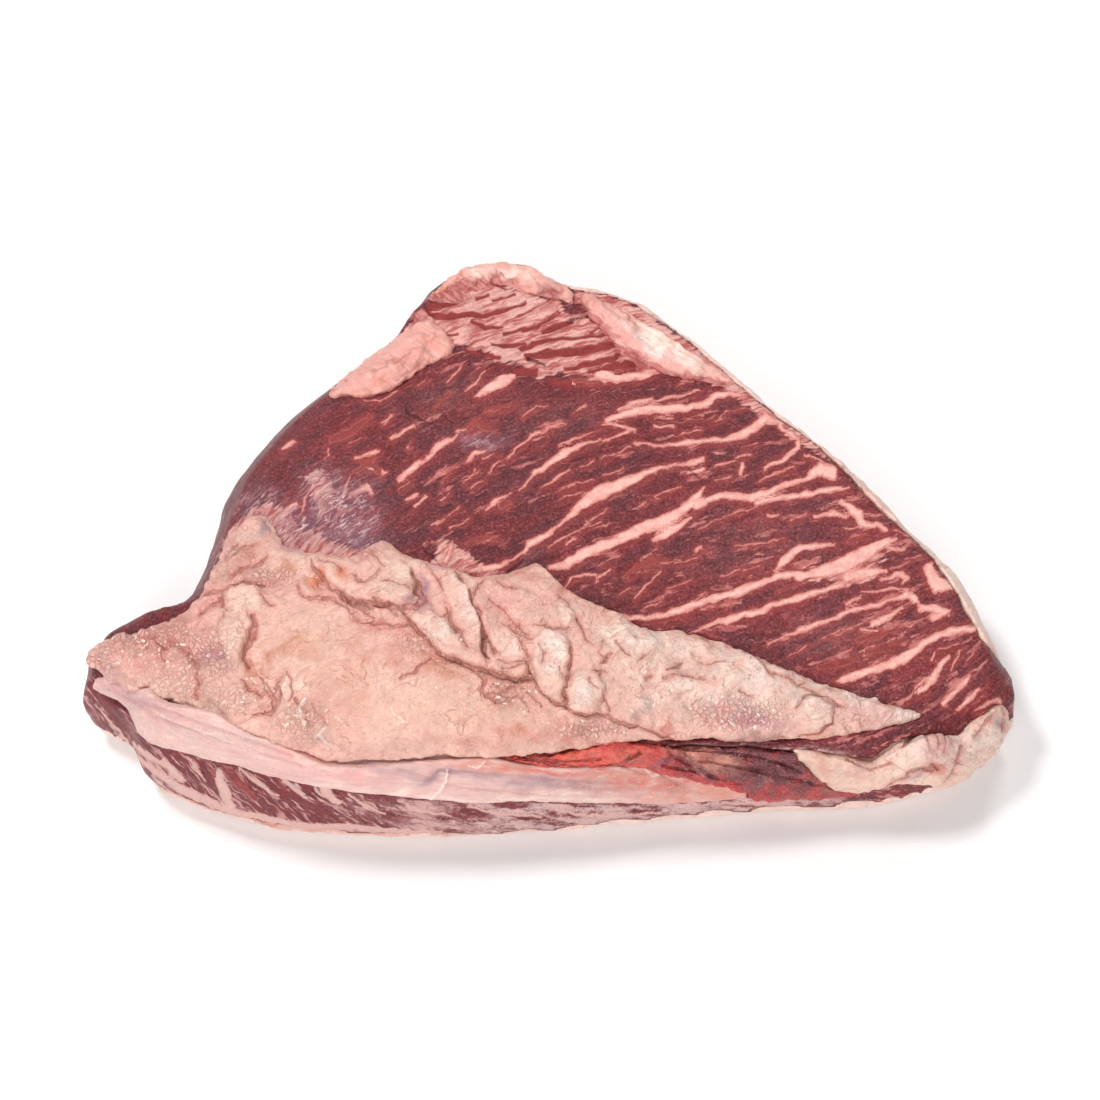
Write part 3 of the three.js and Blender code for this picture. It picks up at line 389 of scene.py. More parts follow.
# Dabs of colour: (colour, x, y, half length, half height, turn in degrees, strength).
# The rust-coloured and orange dabs in creases, pits and under the lips are painted shade.
SLAB_DABS = (
    ("rose", 215, 546, 44, 16, -42, 0.75), ("coral", 244, 562, 28, 7, -38, 0.6),
    ("coral", 200, 572, 20, 8, -50, 0.5), ("cream", 420, 690, 150, 45, 8, 0.3),
    ("peach", 330, 690, 60, 50, 0, 0.8), ("peach", 470, 690, 60, 30, 10, 0.6),
    ("rust_and_shade", 296, 648, 34, 16, -10, 0.4), ("coral", 350, 712, 20, 30, 20, 0.4),
    ("peach", 550, 690, 60, 24, 8, 0.6), ("ivory", 790, 668, 90, 26, 12, 0.6),
    ("ivory", 870, 704, 70, 18, 14, 0.8), ("cream", 640, 640, 60, 30, 10, 0.6),
    ("cream", 130, 720, 70, 22, 25, 0.8), ("ivory", 110, 690, 30, 14, 30, 0.5),
    ("cream", 190, 700, 50, 14, 20, 0.6), ("peach", 440, 720, 90, 26, 4, 0.7),
    ("peach", 300, 620, 40, 20, 0, 0.5), ("rose", 150, 640, 50, 26, -25, 0.55),
    ("coral", 150, 655, 34, 12, -10, 0.5), ("coral", 118, 640, 20, 9, -30, 0.4),
    ("coral", 180, 630, 28, 10, -30, 0.5), ("rose", 200, 600, 26, 14, -20, 0.5),
    ("mauve", 108, 672, 16, 9, 30, 0.5), ("mauve", 155, 622, 10, 7, 0, 0.5),
    ("mauve", 222, 660, 14, 8, 30, 0.6), ("mauve", 205, 655, 16, 10, 0, 0.4),
    ("coral", 170, 575, 30, 8, -40, 0.35), ("rust_and_shade", 220, 568, 22, 5, -38, 0.4),
    ("rust_and_shade", 250, 548, 16, 4, -35, 0.4), ("cream", 235, 555, 26, 6, -38, 0.6),
    ("cream", 250, 535, 16, 8, -30, 0.5), ("rust_and_shade", 287, 567, 10, 6, -20, 0.85),
    ("rose", 275, 580, 24, 8, 10, 0.5), ("cream", 236, 636, 14, 24, 0, 0.9),
    ("cream", 246, 600, 18, 14, 0, 0.7), ("cream", 318, 560, 22, 9, 10, 0.8),
    ("cream", 340, 576, 20, 6, 30, 0.6), ("orange", 320, 577, 6, 8, 35, 0.8),
    ("orange", 313, 586, 10, 5, 30, 0.5), ("orange", 346, 574, 8, 5, 20, 0.7),
    ("rust_and_shade", 272, 660, 4, 14, 15, 0.7), ("rust_and_shade", 290, 642, 15, 5, -10, 0.6),
    ("rust_and_shade", 300, 655, 12, 5, 0, 0.3), ("cream", 300, 664, 14, 8, 0, 0.4),
    ("rust_and_shade", 255, 672, 9, 4, 20, 0.8), ("rust_and_shade", 258, 690, 12, 3, 30, 0.6),
    ("rust_and_shade", 246, 662, 5, 12, 0, 0.5), ("ivory", 285, 690, 14, 14, 0, 0.5),
    ("cream", 396, 577, 19, 14, 0, 0.8), ("cream", 400, 592, 14, 6, 10, 0.8),
    ("mauve", 424, 590, 7, 16, -25, 0.9), ("slate", 424, 592, 4, 12, -25, 0.8),
    ("slate", 412, 606, 14, 5, 5, 0.7), ("coral", 390, 628, 38, 8, 12, 0.6),
    ("coral", 430, 660, 22, 12, 30, 0.6), ("rust_and_shade", 445, 668, 22, 6, 20, 0.5),
    ("coral", 395, 655, 16, 14, 0, 0.5), ("coral", 360, 650, 20, 24, 0, 0.4),
    ("coral", 330, 700, 18, 26, 10, 0.35), ("ivory", 468, 600, 9, 30, -22, 0.7),
    ("ivory", 444, 632, 20, 10, 40, 0.6), ("rose", 485, 590, 14, 10, 0, 0.5),
    ("coral", 510, 576, 24, 8, 10, 0.8), ("coral", 520, 568, 26, 6, -30, 0.6),
    ("rose", 500, 605, 18, 14, 0, 0.6), ("coral", 510, 617, 16, 5, 30, 0.6),
    ("ivory", 505, 645, 16, 14, 0, 0.5), ("ivory", 553, 655, 16, 26, -10, 0.7),
    ("ivory", 586, 690, 17, 16, 0, 0.7), ("ivory", 568, 613, 12, 8, 0, 0.9),
    ("ivory", 583, 615, 5, 5, 0, 0.8), ("rose", 545, 600, 20, 12, 10, 0.4),
    ("coral", 592, 632, 22, 16, 0, 0.5), ("coral", 590, 612, 20, 8, 15, 0.4),
    ("ivory", 640, 640, 60, 14, 10, 0.5), ("ivory", 690, 690, 60, 20, 10, 0.6),
    ("ivory", 760, 690, 30, 20, 10, 0.5), ("ivory", 815, 708, 20, 20, 0, 0.6),
    ("rose", 735, 715, 26, 12, 10, 0.8), ("mauve", 760, 722, 30, 10, 5, 0.7),
    ("maroon", 765, 742, 40, 6, 2, 0.6), ("rose", 860, 712, 36, 12, 10, 0.6),
    ("coral", 888, 706, 12, 7, 0, 0.7), ("ivory", 906, 714, 12, 4, 10, 0.7),
    ("coral", 670, 728, 4, 12, 0, 0.9), ("ivory", 645, 706, 14, 7, -20, 0.8),
    ("orange", 800, 742, 30, 4, -14, 0.5), ("coral", 540, 735, 60, 10, 8, 0.7),
    ("coral", 470, 742, 50, 8, 0, 0.4), ("rose", 600, 728, 26, 8, 10, 0.7),
    ("coral", 560, 722, 30, 8, 12, 0.5), ("peach", 250, 742, 40, 6, 18, 0.5),
    ("rose", 300, 740, 30, 8, 25, 0.4), ("rust_and_shade", 505, 708, 16, 5, 0, 0.5),
    ("rust_and_shade", 515, 735, 8, 20, 10, 0.3), ("slate", 262, 530, 14, 6, -30, 0.5),
    ("coral", 262, 511, 9, 7, 0, 0.8), ("mauve", 290, 545, 18, 6, -10, 0.6),
    ("ivory", 372, 535, 6, 4, 0, 0.9), ("coral", 356, 545, 10, 8, -20, 0.5),
    ("rose", 366, 560, 12, 10, 0, 0.6), ("ivory", 424, 562, 14, 5, 0, 0.5),
    ("mauve", 436, 566, 10, 5, 0, 0.4), ("ivory", 728, 634, 9, 5, 40, 0.9),
    ("coral", 700, 640, 16, 5, 10, 0.5), ("coral", 565, 592, 14, 8, 20, 0.6),
    ("rust_and_shade", 820, 690, 30, 3, 25, 0.4),
)

SHEATH_CREASES = (
    (0.6, 2.5, (133, 700), (170, 712), (210, 728), (250, 742), (290, 756)),
    (0.4, 1.5, (150, 716), (190, 730), (230, 744), (270, 757), (300, 766)),
    (0.4, 1.5, (110, 690), (128, 700), (150, 712)),
    (0.5, 2, (440, 772), (500, 775), (560, 780), (620, 784)),
    (0.3, 1.2, (400, 770), (460, 788), (540, 796), (640, 797)),
    (0.4, 1.2, (560, 786), (600, 790), (660, 788), (700, 794)),
    (0.6, 1.4, (620, 764), (640, 772), (664, 776), (690, 790)),
)
# The cream dab on the sheath's top at the left is partly its pale colour and partly painted glare.
SHEATH_DABS = (
    ("cream", 200, 738, 80, 16, 22, 0.35), ("mauve", 150, 708, 40, 12, 28, 0.4),
    ("mauve", 215, 744, 70, 8, 22, 0.3), ("rose", 300, 756, 26, 10, 15, 0.5),
    ("mauve", 120, 690, 24, 8, 30, 0.5), ("slate", 440, 774, 60, 7, -2, 0.5),
    ("slate", 550, 782, 70, 8, 4, 0.5), ("slate", 380, 768, 30, 5, 0, 0.4),
    ("coral", 490, 766, 50, 6, 4, 0.8), ("coral", 640, 778, 56, 14, 0, 0.9),
    ("coral", 700, 796, 60, 10, -4, 0.7), ("red", 560, 771, 60, 3, 3, 0.5),
    ("red", 660, 786, 40, 6, 0, 0.4), ("coral", 720, 790, 50, 10, 0, 0.8),
    ("ivory", 400, 794, 120, 5, 6, 0.4), ("ivory", 560, 798, 60, 4, 0, 0.4),
    ("rose", 350, 776, 50, 8, 5, 0.5), ("red", 700, 782, 40, 3, -4, 0.5),
)
TISSUE_CREASES = (
    (0.8, 1.3, (450, 754), (490, 757), (531, 761), (572, 768), (612, 767), (640, 754)),
    (0.7, 1.2, (520, 756), (560, 762), (600, 760)), (0.8, 1.4, (664, 766), (700, 774), (740, 786)),
    (0.9, 1.5, (680, 748), (720, 752), (760, 758), (800, 772)),
    (0.8, 1.4, (700, 762), (740, 768), (780, 778), (820, 786)),
    (0.6, 1.2, (660, 742), (672, 756), (690, 766)), (0.7, 1.2, (720, 740), (760, 744), (800, 750)),
)
TISSUE_DABS = (
    ("red", 540, 762, 120, 12, 3, 1.0), ("scarlet", 600, 758, 60, 9, -2, 0.9),
    ("scarlet", 690, 752, 26, 8, 15, 0.7), ("maroon", 760, 768, 96, 26, 8, 1.0),
    ("maroon", 740, 748, 50, 8, 4, 0.7), ("rose", 820, 764, 22, 8, 40, 0.5),
    ("coral", 700, 756, 30, 8, 20, 0.6), ("scarlet", 620, 756, 50, 6, -6, 0.6),
    ("coral", 832, 772, 16, 14, 40, 0.8), ("coral", 720, 762, 24, 5, 10, 0.5),
    ("wine", 660, 760, 14, 6, 0, 0.5),
)
END_CREASES = (
    (1.2, 1.6, (903, 745), (910, 737), (919, 729)), (1.2, 1.6, (909, 773), (922, 769), (931, 771)),
    (1.0, 1.5, (961, 747), (959, 760), (954, 773), (946, 781)), (0.9, 1.4, (933, 765), (938, 769)),
    (0.9, 1.5, (1003, 700), (1006, 715), (1003, 731)), (0.5, 1.2, (848, 760), (870, 770), (890, 764)),
    (0.4, 1, (925, 735), (928, 748)), (0.4, 1, (934, 733), (936, 747)), (0.4, 1, (943, 735),
    (943, 750)), (0.5, 1.2, (975, 735), (985, 722), (996, 712)), (0.4, 1, (880, 790), (896, 781),
    (908, 776)),
)
END_LUMPS = ((1.7, 7.0, (920, 752), (932, 744), (946, 742)), (1.0, 6.0, (970, 738), (986, 722)))
# The ivory dab on the lump is painted light that brightens its front, which the lamps leave shaded.
END_DABS = (
    ("ivory", 936, 748, 34, 22, 0, 0.9), ("rose", 940, 752, 24, 18, 0, 0.6),
    ("coral", 938, 768, 9, 8, 0, 0.8), ("cream", 860, 772, 40, 14, 10, 0.5),
    ("rose", 855, 775, 20, 10, 20, 0.4), ("maroon", 1000, 727, 5, 7, 0, 0.8),
    ("wine", 1014, 698, 7, 10, 0, 0.8), ("ivory", 985, 735, 22, 14, -40, 0.5),
    ("slate", 915, 776, 10, 5, -10, 0.6), ("coral", 822, 762, 10, 18, -20, 0.5),
)
LEAN_DABS = (
    ("lean_right", 830, 580, 190, 120, 15, 0.9), ("lean_deep", 420, 520, 90, 50, -20, 0.7),
    ("lean_dark", 285, 430, 70, 70, -40, 0.9), ("lean_deep", 350, 505, 40, 40, 0, 0.6),
    ("lean_deep", 560, 470, 90, 40, -20, 0.3), ("lean_right", 480, 420, 60, 40, -20, 0.5),
    ("mauve", 482, 442, 24, 6, 10, 0.55), ("mauve", 340, 515, 34, 28, -20, 0.7),
    ("slate", 330, 510, 30, 24, -30, 0.55), ("slate", 372, 545, 22, 9, 25, 0.6),
    ("lean_dark", 270, 488, 30, 16, -30, 0.6), ("wine", 300, 500, 20, 12, 0, 0.4),
    ("mauve", 520, 566, 22, 5, -30, 0.5), ("lean_red", 585, 380, 30, 6, 0, 0.5),
    ("lean_grey", 840, 640, 50, 22, 10, 0.6), ("lean_grey", 760, 545, 60, 26, -10, 0.4),
    ("lean_grey", 560, 420, 60, 20, -15, 0.3), ("lean_red", 700, 615, 60, 8, -15, 0.4),
    ("lean_dark", 800, 425, 40, 24, 35, 0.4), ("lean_grey", 440, 400, 40, 20, -20, 0.3),
    ("lean_red", 880, 655, 50, 14, 20, 0.4), ("lean_dark", 900, 735, 50, 18, -10, 0.5),
    ("lean_strip", 250, 790, 160, 40, 20, 0.8), ("lean_strip", 520, 815, 200, 18, 2, 0.8),
    ("lean_grey", 560, 818, 120, 12, 0, 0.6), ("wine", 780, 798, 80, 10, -4, 0.5),
)
STRIP_VEINS = (
    ((218, 775, 5), (224, 788, 6), (230, 804, 4)), (4.5, (165, 760), (172, 770), (182, 780)),
    (2.2, (241, 770), (258, 783), (277, 795)), (2.6, (277, 775), (288, 784), (302, 793)),
    (5, (318, 780), (326, 792), (338, 802)), (3.5, (121, 736), (149, 756), (176, 772)),
    (3, (190, 792), (215, 806), (250, 820)), (2.5, (350, 795), (366, 806), (384, 812)),
    (2, (400, 800), (420, 810), (450, 816)), (1.5, (180, 752), (196, 768), (204, 780)),
    (2, (470, 806), (500, 814), (540, 818)), (1.6, (96, 706), (112, 724), (126, 738)),
    (4, (130, 752), (181, 789), (241, 814), (310, 826), (440, 833)),
    (2, (560, 812), (610, 816), (660, 812)), (1.6, (700, 806), (760, 802), (820, 796)),
)
STRIP_REDS = ((5, (226, 768), (238, 780), (254, 797)), (3, (206, 762), (214, 776)))

# Patches of loose crumbs: (x, y, half length, half height, share).
CRUMB_PATCHES = (
    (730, 712, 48, 16, 1.0), (590, 730, 40, 10, 0.6), (305, 722, 26, 18, 0.7),
    (150, 650, 50, 24, 0.5), (520, 690, 40, 22, 0.35), (250, 690, 20, 18, 0.5),
    (480, 640, 60, 40, 0.12), (650, 700, 24, 14, 0.5),
)
CRUMB_SHAPES = ((0.35, 0.3, 0.12), (1.3, 0.8, 0.32))  # the smallest and the largest, in crumb sizes
CRUMBS_PER_AREA = 190000.0
# The ivory and cream dabs on the right rim are partly its pale colour and partly painted light from
# behind.
CAP_DABS = (
    ("peach", 880, 520, 120, 50, 50, 0.5), ("cream", 960, 600, 40, 80, -20, 0.6),
    ("coral", 250, 815, 150, 16, 24, 0.5), ("coral", 420, 832, 160, 8, 2, 0.5),
    ("rose", 640, 330, 60, 50, 40, 0.4), ("ivory", 930, 590, 60, 60, 50, 0.6),
    ("rose", 900, 540, 90, 20, 52, 0.35), ("orange", 1000, 660, 10, 30, -20, 0.3),
)

# Raised pale threads and tags: (height in mm, half width, points...).
SLAB_THREADS = (
    (0.5, 0.7, (867, 694), (873, 700), (880, 699)), (0.5, 0.8, (84, 712), (92, 718), (100, 716)),
    (0.4, 0.5, (393, 708), (396, 716), (402, 720)), (0.4, 0.5, (409, 700), (412, 706)),
    (0.4, 0.6, (366, 532), (374, 535), (372, 541)), (0.4, 0.5, (258, 672), (264, 680), (266, 688)),
    (0.4, 0.5, (285, 676), (280, 688), (286, 698)), (0.5, 0.6, (304, 700), (298, 712), (306, 722)),
    (0.4, 0.6, (326, 728), (318, 736), (330, 744)), (0.4, 0.5, (338, 716), (344, 726)),
    (0.4, 0.5, (720, 634), (728, 640), (738, 642)), (0.4, 0.6, (634, 700), (642, 704), (650, 702)),
)
SHEATH_THREADS = (
    (0.5, 0.9, (447, 771), (446, 780), (440, 790), (431, 798)),
    (0.3, 0.4, (150, 708), (176, 722), (204, 734)), (0.3, 0.4, (196, 728), (226, 742), (250, 750)),
    (0.3, 0.5, (470, 766), (478, 768), (484, 762)), (0.4, 0.6, (644, 768), (652, 776), (660, 774)),
)
TISSUE_THREADS = (
    (0.6, 1.0, (613, 768), (622, 760), (630, 752), (636, 750)), (0.5, 0.8, (612, 764), (634, 760),
    (652, 757)), (0.6, 1.0, (666, 750), (680, 752), (692, 762), (698, 768)), (0.5, 0.7, (672, 754),
    (676, 764), (688, 770)), (0.5, 0.7, (714, 744), (722, 752), (736, 760)), (0.5, 0.7, (736, 764),
    (744, 760), (752, 764)), (0.5, 0.7, (770, 770), (778, 766), (786, 772)), (0.5, 0.7, (798, 768),
    (808, 774), (822, 782)), (0.6, 0.9, (812, 752), (824, 764), (836, 780), (842, 790)),
    (0.5, 0.8, (806, 756), (816, 770), (830, 786)), (0.5, 0.7, (700, 774), (712, 780), (730, 784)),
    (0.5, 0.6, (690, 778), (700, 782)), (0.4, 0.6, (756, 744), (768, 748), (780, 746)),
    (0.5, 0.7, (744, 780), (756, 776), (768, 782)),
)
# Where the surface is wet enough to glint: x, y, half length, half height, strength.
SLAB_WET = (
    (735, 712, 56, 20, 1.0), (590, 728, 36, 9, 1.0), (305, 722, 26, 22, 1.0), (326, 742, 18, 9, 1.0),
    (405, 703, 12, 7, 0.8), (396, 716, 9, 9, 0.9), (268, 700, 16, 22, 0.7), (215, 690, 34, 20, 0.5),
    (150, 650, 56, 24, 0.7), (352, 692, 16, 9, 0.7), (500, 705, 24, 12, 0.8), (640, 700, 30, 14, 0.7),
    (690, 672, 50, 12, 0.5), (560, 705, 30, 10, 0.6), (470, 690, 20, 10, 0.6), (395, 585, 26, 16, 0.5),
    (830, 715, 40, 14, 0.6), (245, 585, 40, 16, 0.5), (520, 600, 50, 24, 0.5), (300, 580, 30, 12, 0.6),
)
SLAB_SCALY = (
    (140, 632, 50, 24, 1.0), (205, 655, 30, 30, 0.8), (180, 680, 40, 22, 0.5), (100, 660, 16, 18, 0.8),
    (735, 712, 50, 16, 0.8), (300, 722, 26, 20, 0.6), (590, 730, 34, 8, 0.7), (270, 575, 24, 9, 0.9),
    (214, 550, 34, 20, 0.55), (420, 640, 20, 14, 0.5), (365, 550, 14, 10, 0.7), (512, 690, 24, 12, 0.5),
    (225, 700, 24, 14, 0.5),
)
SHEATH_WET = ((220, 734, 80, 18, 1.0), (130, 700, 40, 14, 0.6), (660, 780, 60, 14, 1.0),
              (560, 790, 80, 8, 0.5), (350, 770, 60, 12, 0.4))
TISSUE_WET = ((740, 765, 130, 40, 1.0), (560, 760, 110, 16, 0.7))
END_WET = ((850, 775, 40, 14, 0.6), (960, 755, 40, 16, 0.3))

# Thin fat left on the lean: name, node, outline, creases and dabs of colour.
TRIMMED = (
    ("Shoulder_fat", "shoulder_fat",
     ((330, 404), (340, 398), (372, 397), (405, 386), (414, 376), (440, 357), (456, 349), (446, 330),
      (434, 316), (410, 326), (370, 352), (335, 384)),
     ((0.6, 1.4, (372, 372), (392, 362), (410, 352)), (0.5, 1.2, (398, 380), (410, 370), (424, 362)),
      (0.6, 1.6, (410, 372), (418, 366), (430, 362))),
     (("ivory", 380, 372, 30, 12, -30, 0.3), ("coral", 420, 350, 26, 12, -30, 0.7),
      ("rose", 390, 366, 50, 20, -30, 0.8), ("coral", 380, 378, 60, 22, -30, 0.45),
      ("rose", 350, 386, 20, 8, -20, 0.4), ("coral", 440, 340, 12, 10, 0, 0.4))),
    ("Edge_fat", "edge_fat",
     ((560, 276), (596, 312), (612, 330), (628, 346), (642, 353), (660, 363), (674, 374), (702, 374),
      (724, 380), (752, 410), (772, 396), (710, 330), (640, 286), (596, 268)),
     ((0.7, 2.2, (607, 299), (618, 307), (630, 316), (640, 328)),
      (0.3, 0.7, (622, 318), (640, 338), (656, 352))),
     (("ivory", 668, 344, 40, 12, 38, 0.9), ("white", 640, 338, 30, 5, 42, 0.5),
      ("rose", 600, 300, 30, 14, 30, 0.7), ("coral", 585, 292, 20, 12, 20, 0.6))),
    ("Apex_fat", "apex_fat",
     ((420, 304), (432, 290), (446, 281), (463, 276), (486, 276), (500, 273), (519, 283), (537, 297),
      (548, 288), (560, 298), (574, 298), (576, 270), (540, 250), (450, 250), (420, 280)),
     ((1.2, 4.0, (540, 292), (550, 290), (560, 290)), (0.8, 2.0, (570, 296), (578, 300)),
      (0.7, 1.6, (480, 272), (490, 280), (502, 284)), (0.6, 1.4, (500, 272), (512, 280), (526, 284)),
      (0.7, 1.6, (446, 284), (456, 278), (462, 270)), (0.6, 1.4, (530, 276), (540, 282))),
     (("coral", 500, 284, 30, 10, 10, 0.6), ("peach", 450, 284, 24, 10, -20, 0.6),
      ("orange", 440, 290, 20, 9, -20, 0.6), ("ivory", 510, 272, 24, 6, 10, 0.5),
      ("wine", 551, 291, 12, 9, 0, 1.0), ("coral", 566, 284, 12, 10, 0, 0.6),
      ("ivory", 478, 276, 12, 5, 0, 0.5))),
)

PALETTE = {
    "cream": tone(241, 205, 186), "peach": tone(236, 186, 164), "rose": tone(232, 168, 160),
    "coral": tone(214, 140, 122), "rust_and_shade": tone(205, 136, 106), "orange": tone(224, 134, 96),
    "mauve": tone(200, 146, 152), "slate": tone(150, 116, 130), "maroon": tone(112, 48, 56),
    "wine": tone(140, 72, 78), "ivory": tone(248, 224, 210), "white": tone(250, 240, 236),
    "red": tone(206, 74, 66), "scarlet": tone(226, 96, 78), "lean_right": tone(132, 58, 60),
    "lean_dark": tone(120, 46, 48), "lean_deep": tone(118, 48, 50), "lean_red": tone(170, 72, 66),
    "lean_grey": tone(150, 92, 92), "lean_strip": tone(164, 98, 94),
}


# ---- Where a point shows in the picture, and how far it is from what was read there.

def picture_spots(points):
    """Pixel coordinates of points in metres."""
    away = points - CAMERA_PLACE
    depth = -away @ CAMERA_BACK
    scale = LENS / SENSOR * PICTURE
    return np.stack((PICTURE / 2 + away @ CAMERA_RIGHT / depth * scale,
                     PICTURE / 2 - away @ CAMERA_UP / depth * scale), 1)


def as_stroke(stroke):
    """Rows of x, y, half width; an even stroke narrows at its ends."""
    if not isinstance(stroke[0], tuple):
        width, *points = stroke
        rows = np.array([(x, y, width) for x, y in points], float)
        rows[[0, -1], 2] *= 0.6
        return rows
    return np.array(stroke, float)


def stroke_distance(spots, stroke, reach):
    """For the spots near a stroke: their numbers, distance, sideways distance and half width."""
    low, high = stroke[:, :2].min(0) - reach, stroke[:, :2].max(0) + reach
    near = np.flatnonzero(((spots > low) & (spots < high)).all(1))
    point = spots[near]
    distance = np.full(len(near), np.inf)
    side = np.zeros(len(near))
    width = np.zeros(len(near))
    for start, end in zip(stroke, stroke[1:]):
        run = end[:2] - start[:2]
        length = math.hypot(*run)
        along = np.clip((point - start[:2]) @ run / length ** 2, 0, 1)
        from_line = point - start[:2] - along[:, None] * run
        gap = np.hypot(from_line[:, 0], from_line[:, 1])
        closer = gap < distance
        lateral = (run[0] * (point[:, 1] - start[1]) - run[1] * (point[:, 0] - start[0])) / length
        distance = np.where(closer, gap, distance)
        side = np.where(closer, lateral, side)
        width = np.where(closer, start[2] + along * (end[2] - start[2]), width)
    return near, distance, side, width


def nearest_lines(spots, groups, reach=14.0):
    """Sideways distance, distance, half width and group value of the line that matters most."""
    side = np.full(len(spots), reach)
    distance = np.full(len(spots), reach)
    width = np.zeros(len(spots))
    value = np.zeros(len(spots))
    for strokes, group_value in groups:
        for stroke in strokes:
            near, gap, lateral, half = stroke_distance(spots, as_stroke(stroke), reach)
            better = half - gap > width[near] - distance[near]
            pick = near[better]
            side[pick], distance[pick] = lateral[better], gap[better]
            width[pick], value[pick] = half[better], group_value
    return side, distance, width, value


def inside_polygon(spots, polygon, margin=30.0):
    """Signed distance to a polygon's border, positive inside."""
    corners = np.array(polygon, float)
    result = np.full(len(spots), -margin)
    ring = np.vstack((corners, corners[:1]))
    ring = np.hstack((ring, np.zeros((len(ring), 1))))
    near, gap, _, _ = stroke_distance(spots, ring, margin)
    x, y = spots[near].T
    inside = np.zeros(len(near), bool)
    for (x0, y0, _), (x1, y1, _) in zip(ring, ring[1:]):
        crosses = (y0 > y) != (y1 > y)
        inside ^= crosses & (x < (x1 - x0) * (y - y0) / (y1 - y0 + 1e-9) + x0)
    result[near] = np.where(inside, gap, -gap)
    return np.maximum(result, -margin)


def dabbed(spots, seen, base, dabs):
    """A colour for each point: the base with soft dabs laid on it."""
    colour = np.tile(np.array(base[:3], float), (len(spots), 1))
    flat = np.column_stack((spots, np.zeros(len(spots))))
    spots = spots + 3.5 * np.stack((swell(flat, 30, 92), swell(flat, 30, 93)), 1)
    seen = seen * np.clip(1 + 0.45 * swell(flat, 20, 91), 0.2, 1.5)
    for name, x, y, half_length, half_height, turn, strength in dabs:
        angle = math.radians(turn)
        dx, dy = spots[:, 0] - x, spots[:, 1] - y
        u = (dx * math.cos(angle) + dy * math.sin(angle)) / half_length
        v = (dy * math.cos(angle) - dx * math.sin(angle)) / half_height
        share = np.minimum(1.15 * strength * seen * np.exp(-(u * u + v * v) ** 1.3), 1)[:, None]
        colour = colour * (1 - share) + np.array(PALETTE[name]) * share
    return colour


def patch_share(spots, patches):
    """How much each point lies in soft patches read in the picture, 0 to 1."""
    share = np.zeros(len(spots))
    for x, y, half_length, half_height, strength in patches:
        gap = ((spots[:, 0] - x) / half_length) ** 2 + ((spots[:, 1] - y) / half_height) ** 2
        share = np.maximum(share, strength * np.exp(-gap ** 1.5))
    return share


def smooth_step(low, high, value):
    share = np.clip((value - low) / (high - low), 0, 1)
    return share * share * (3 - 2 * share)


def shaken(spots, points, amount, length, seed):
    """Picture coordinates moved a little, so that lines read in the picture run unevenly."""
    return spots + amount * np.stack((swell(points, length, seed), swell(points, length, seed + 1)), 1)


def swell(points, length, seed, stretch=(1, 1, 1)):
    """A smooth random field, about -1 to 1, whose waves are about length metres long."""
    random = np.random.default_rng(seed)
    total = np.zeros(len(points))
    scaled = points / np.array(stretch) * (2 * math.pi / length)
    for _ in range(WAVES):
        way = random.normal(size=3)
        way *= random.uniform(0.6, 1.5) / np.linalg.norm(way)
        total += np.sin(scaled @ way + random.uniform(0, 2 * math.pi))
    return total / math.sqrt(WAVES)


# ---- Meshes.

def vectors(items, field):
    """A field of a mesh's items, one row of x, y, z for each."""
    rows = np.empty(len(items) * 3, np.float32)
    items.foreach_get(field, rows)
    return rows.reshape(-1, 3).astype(float)


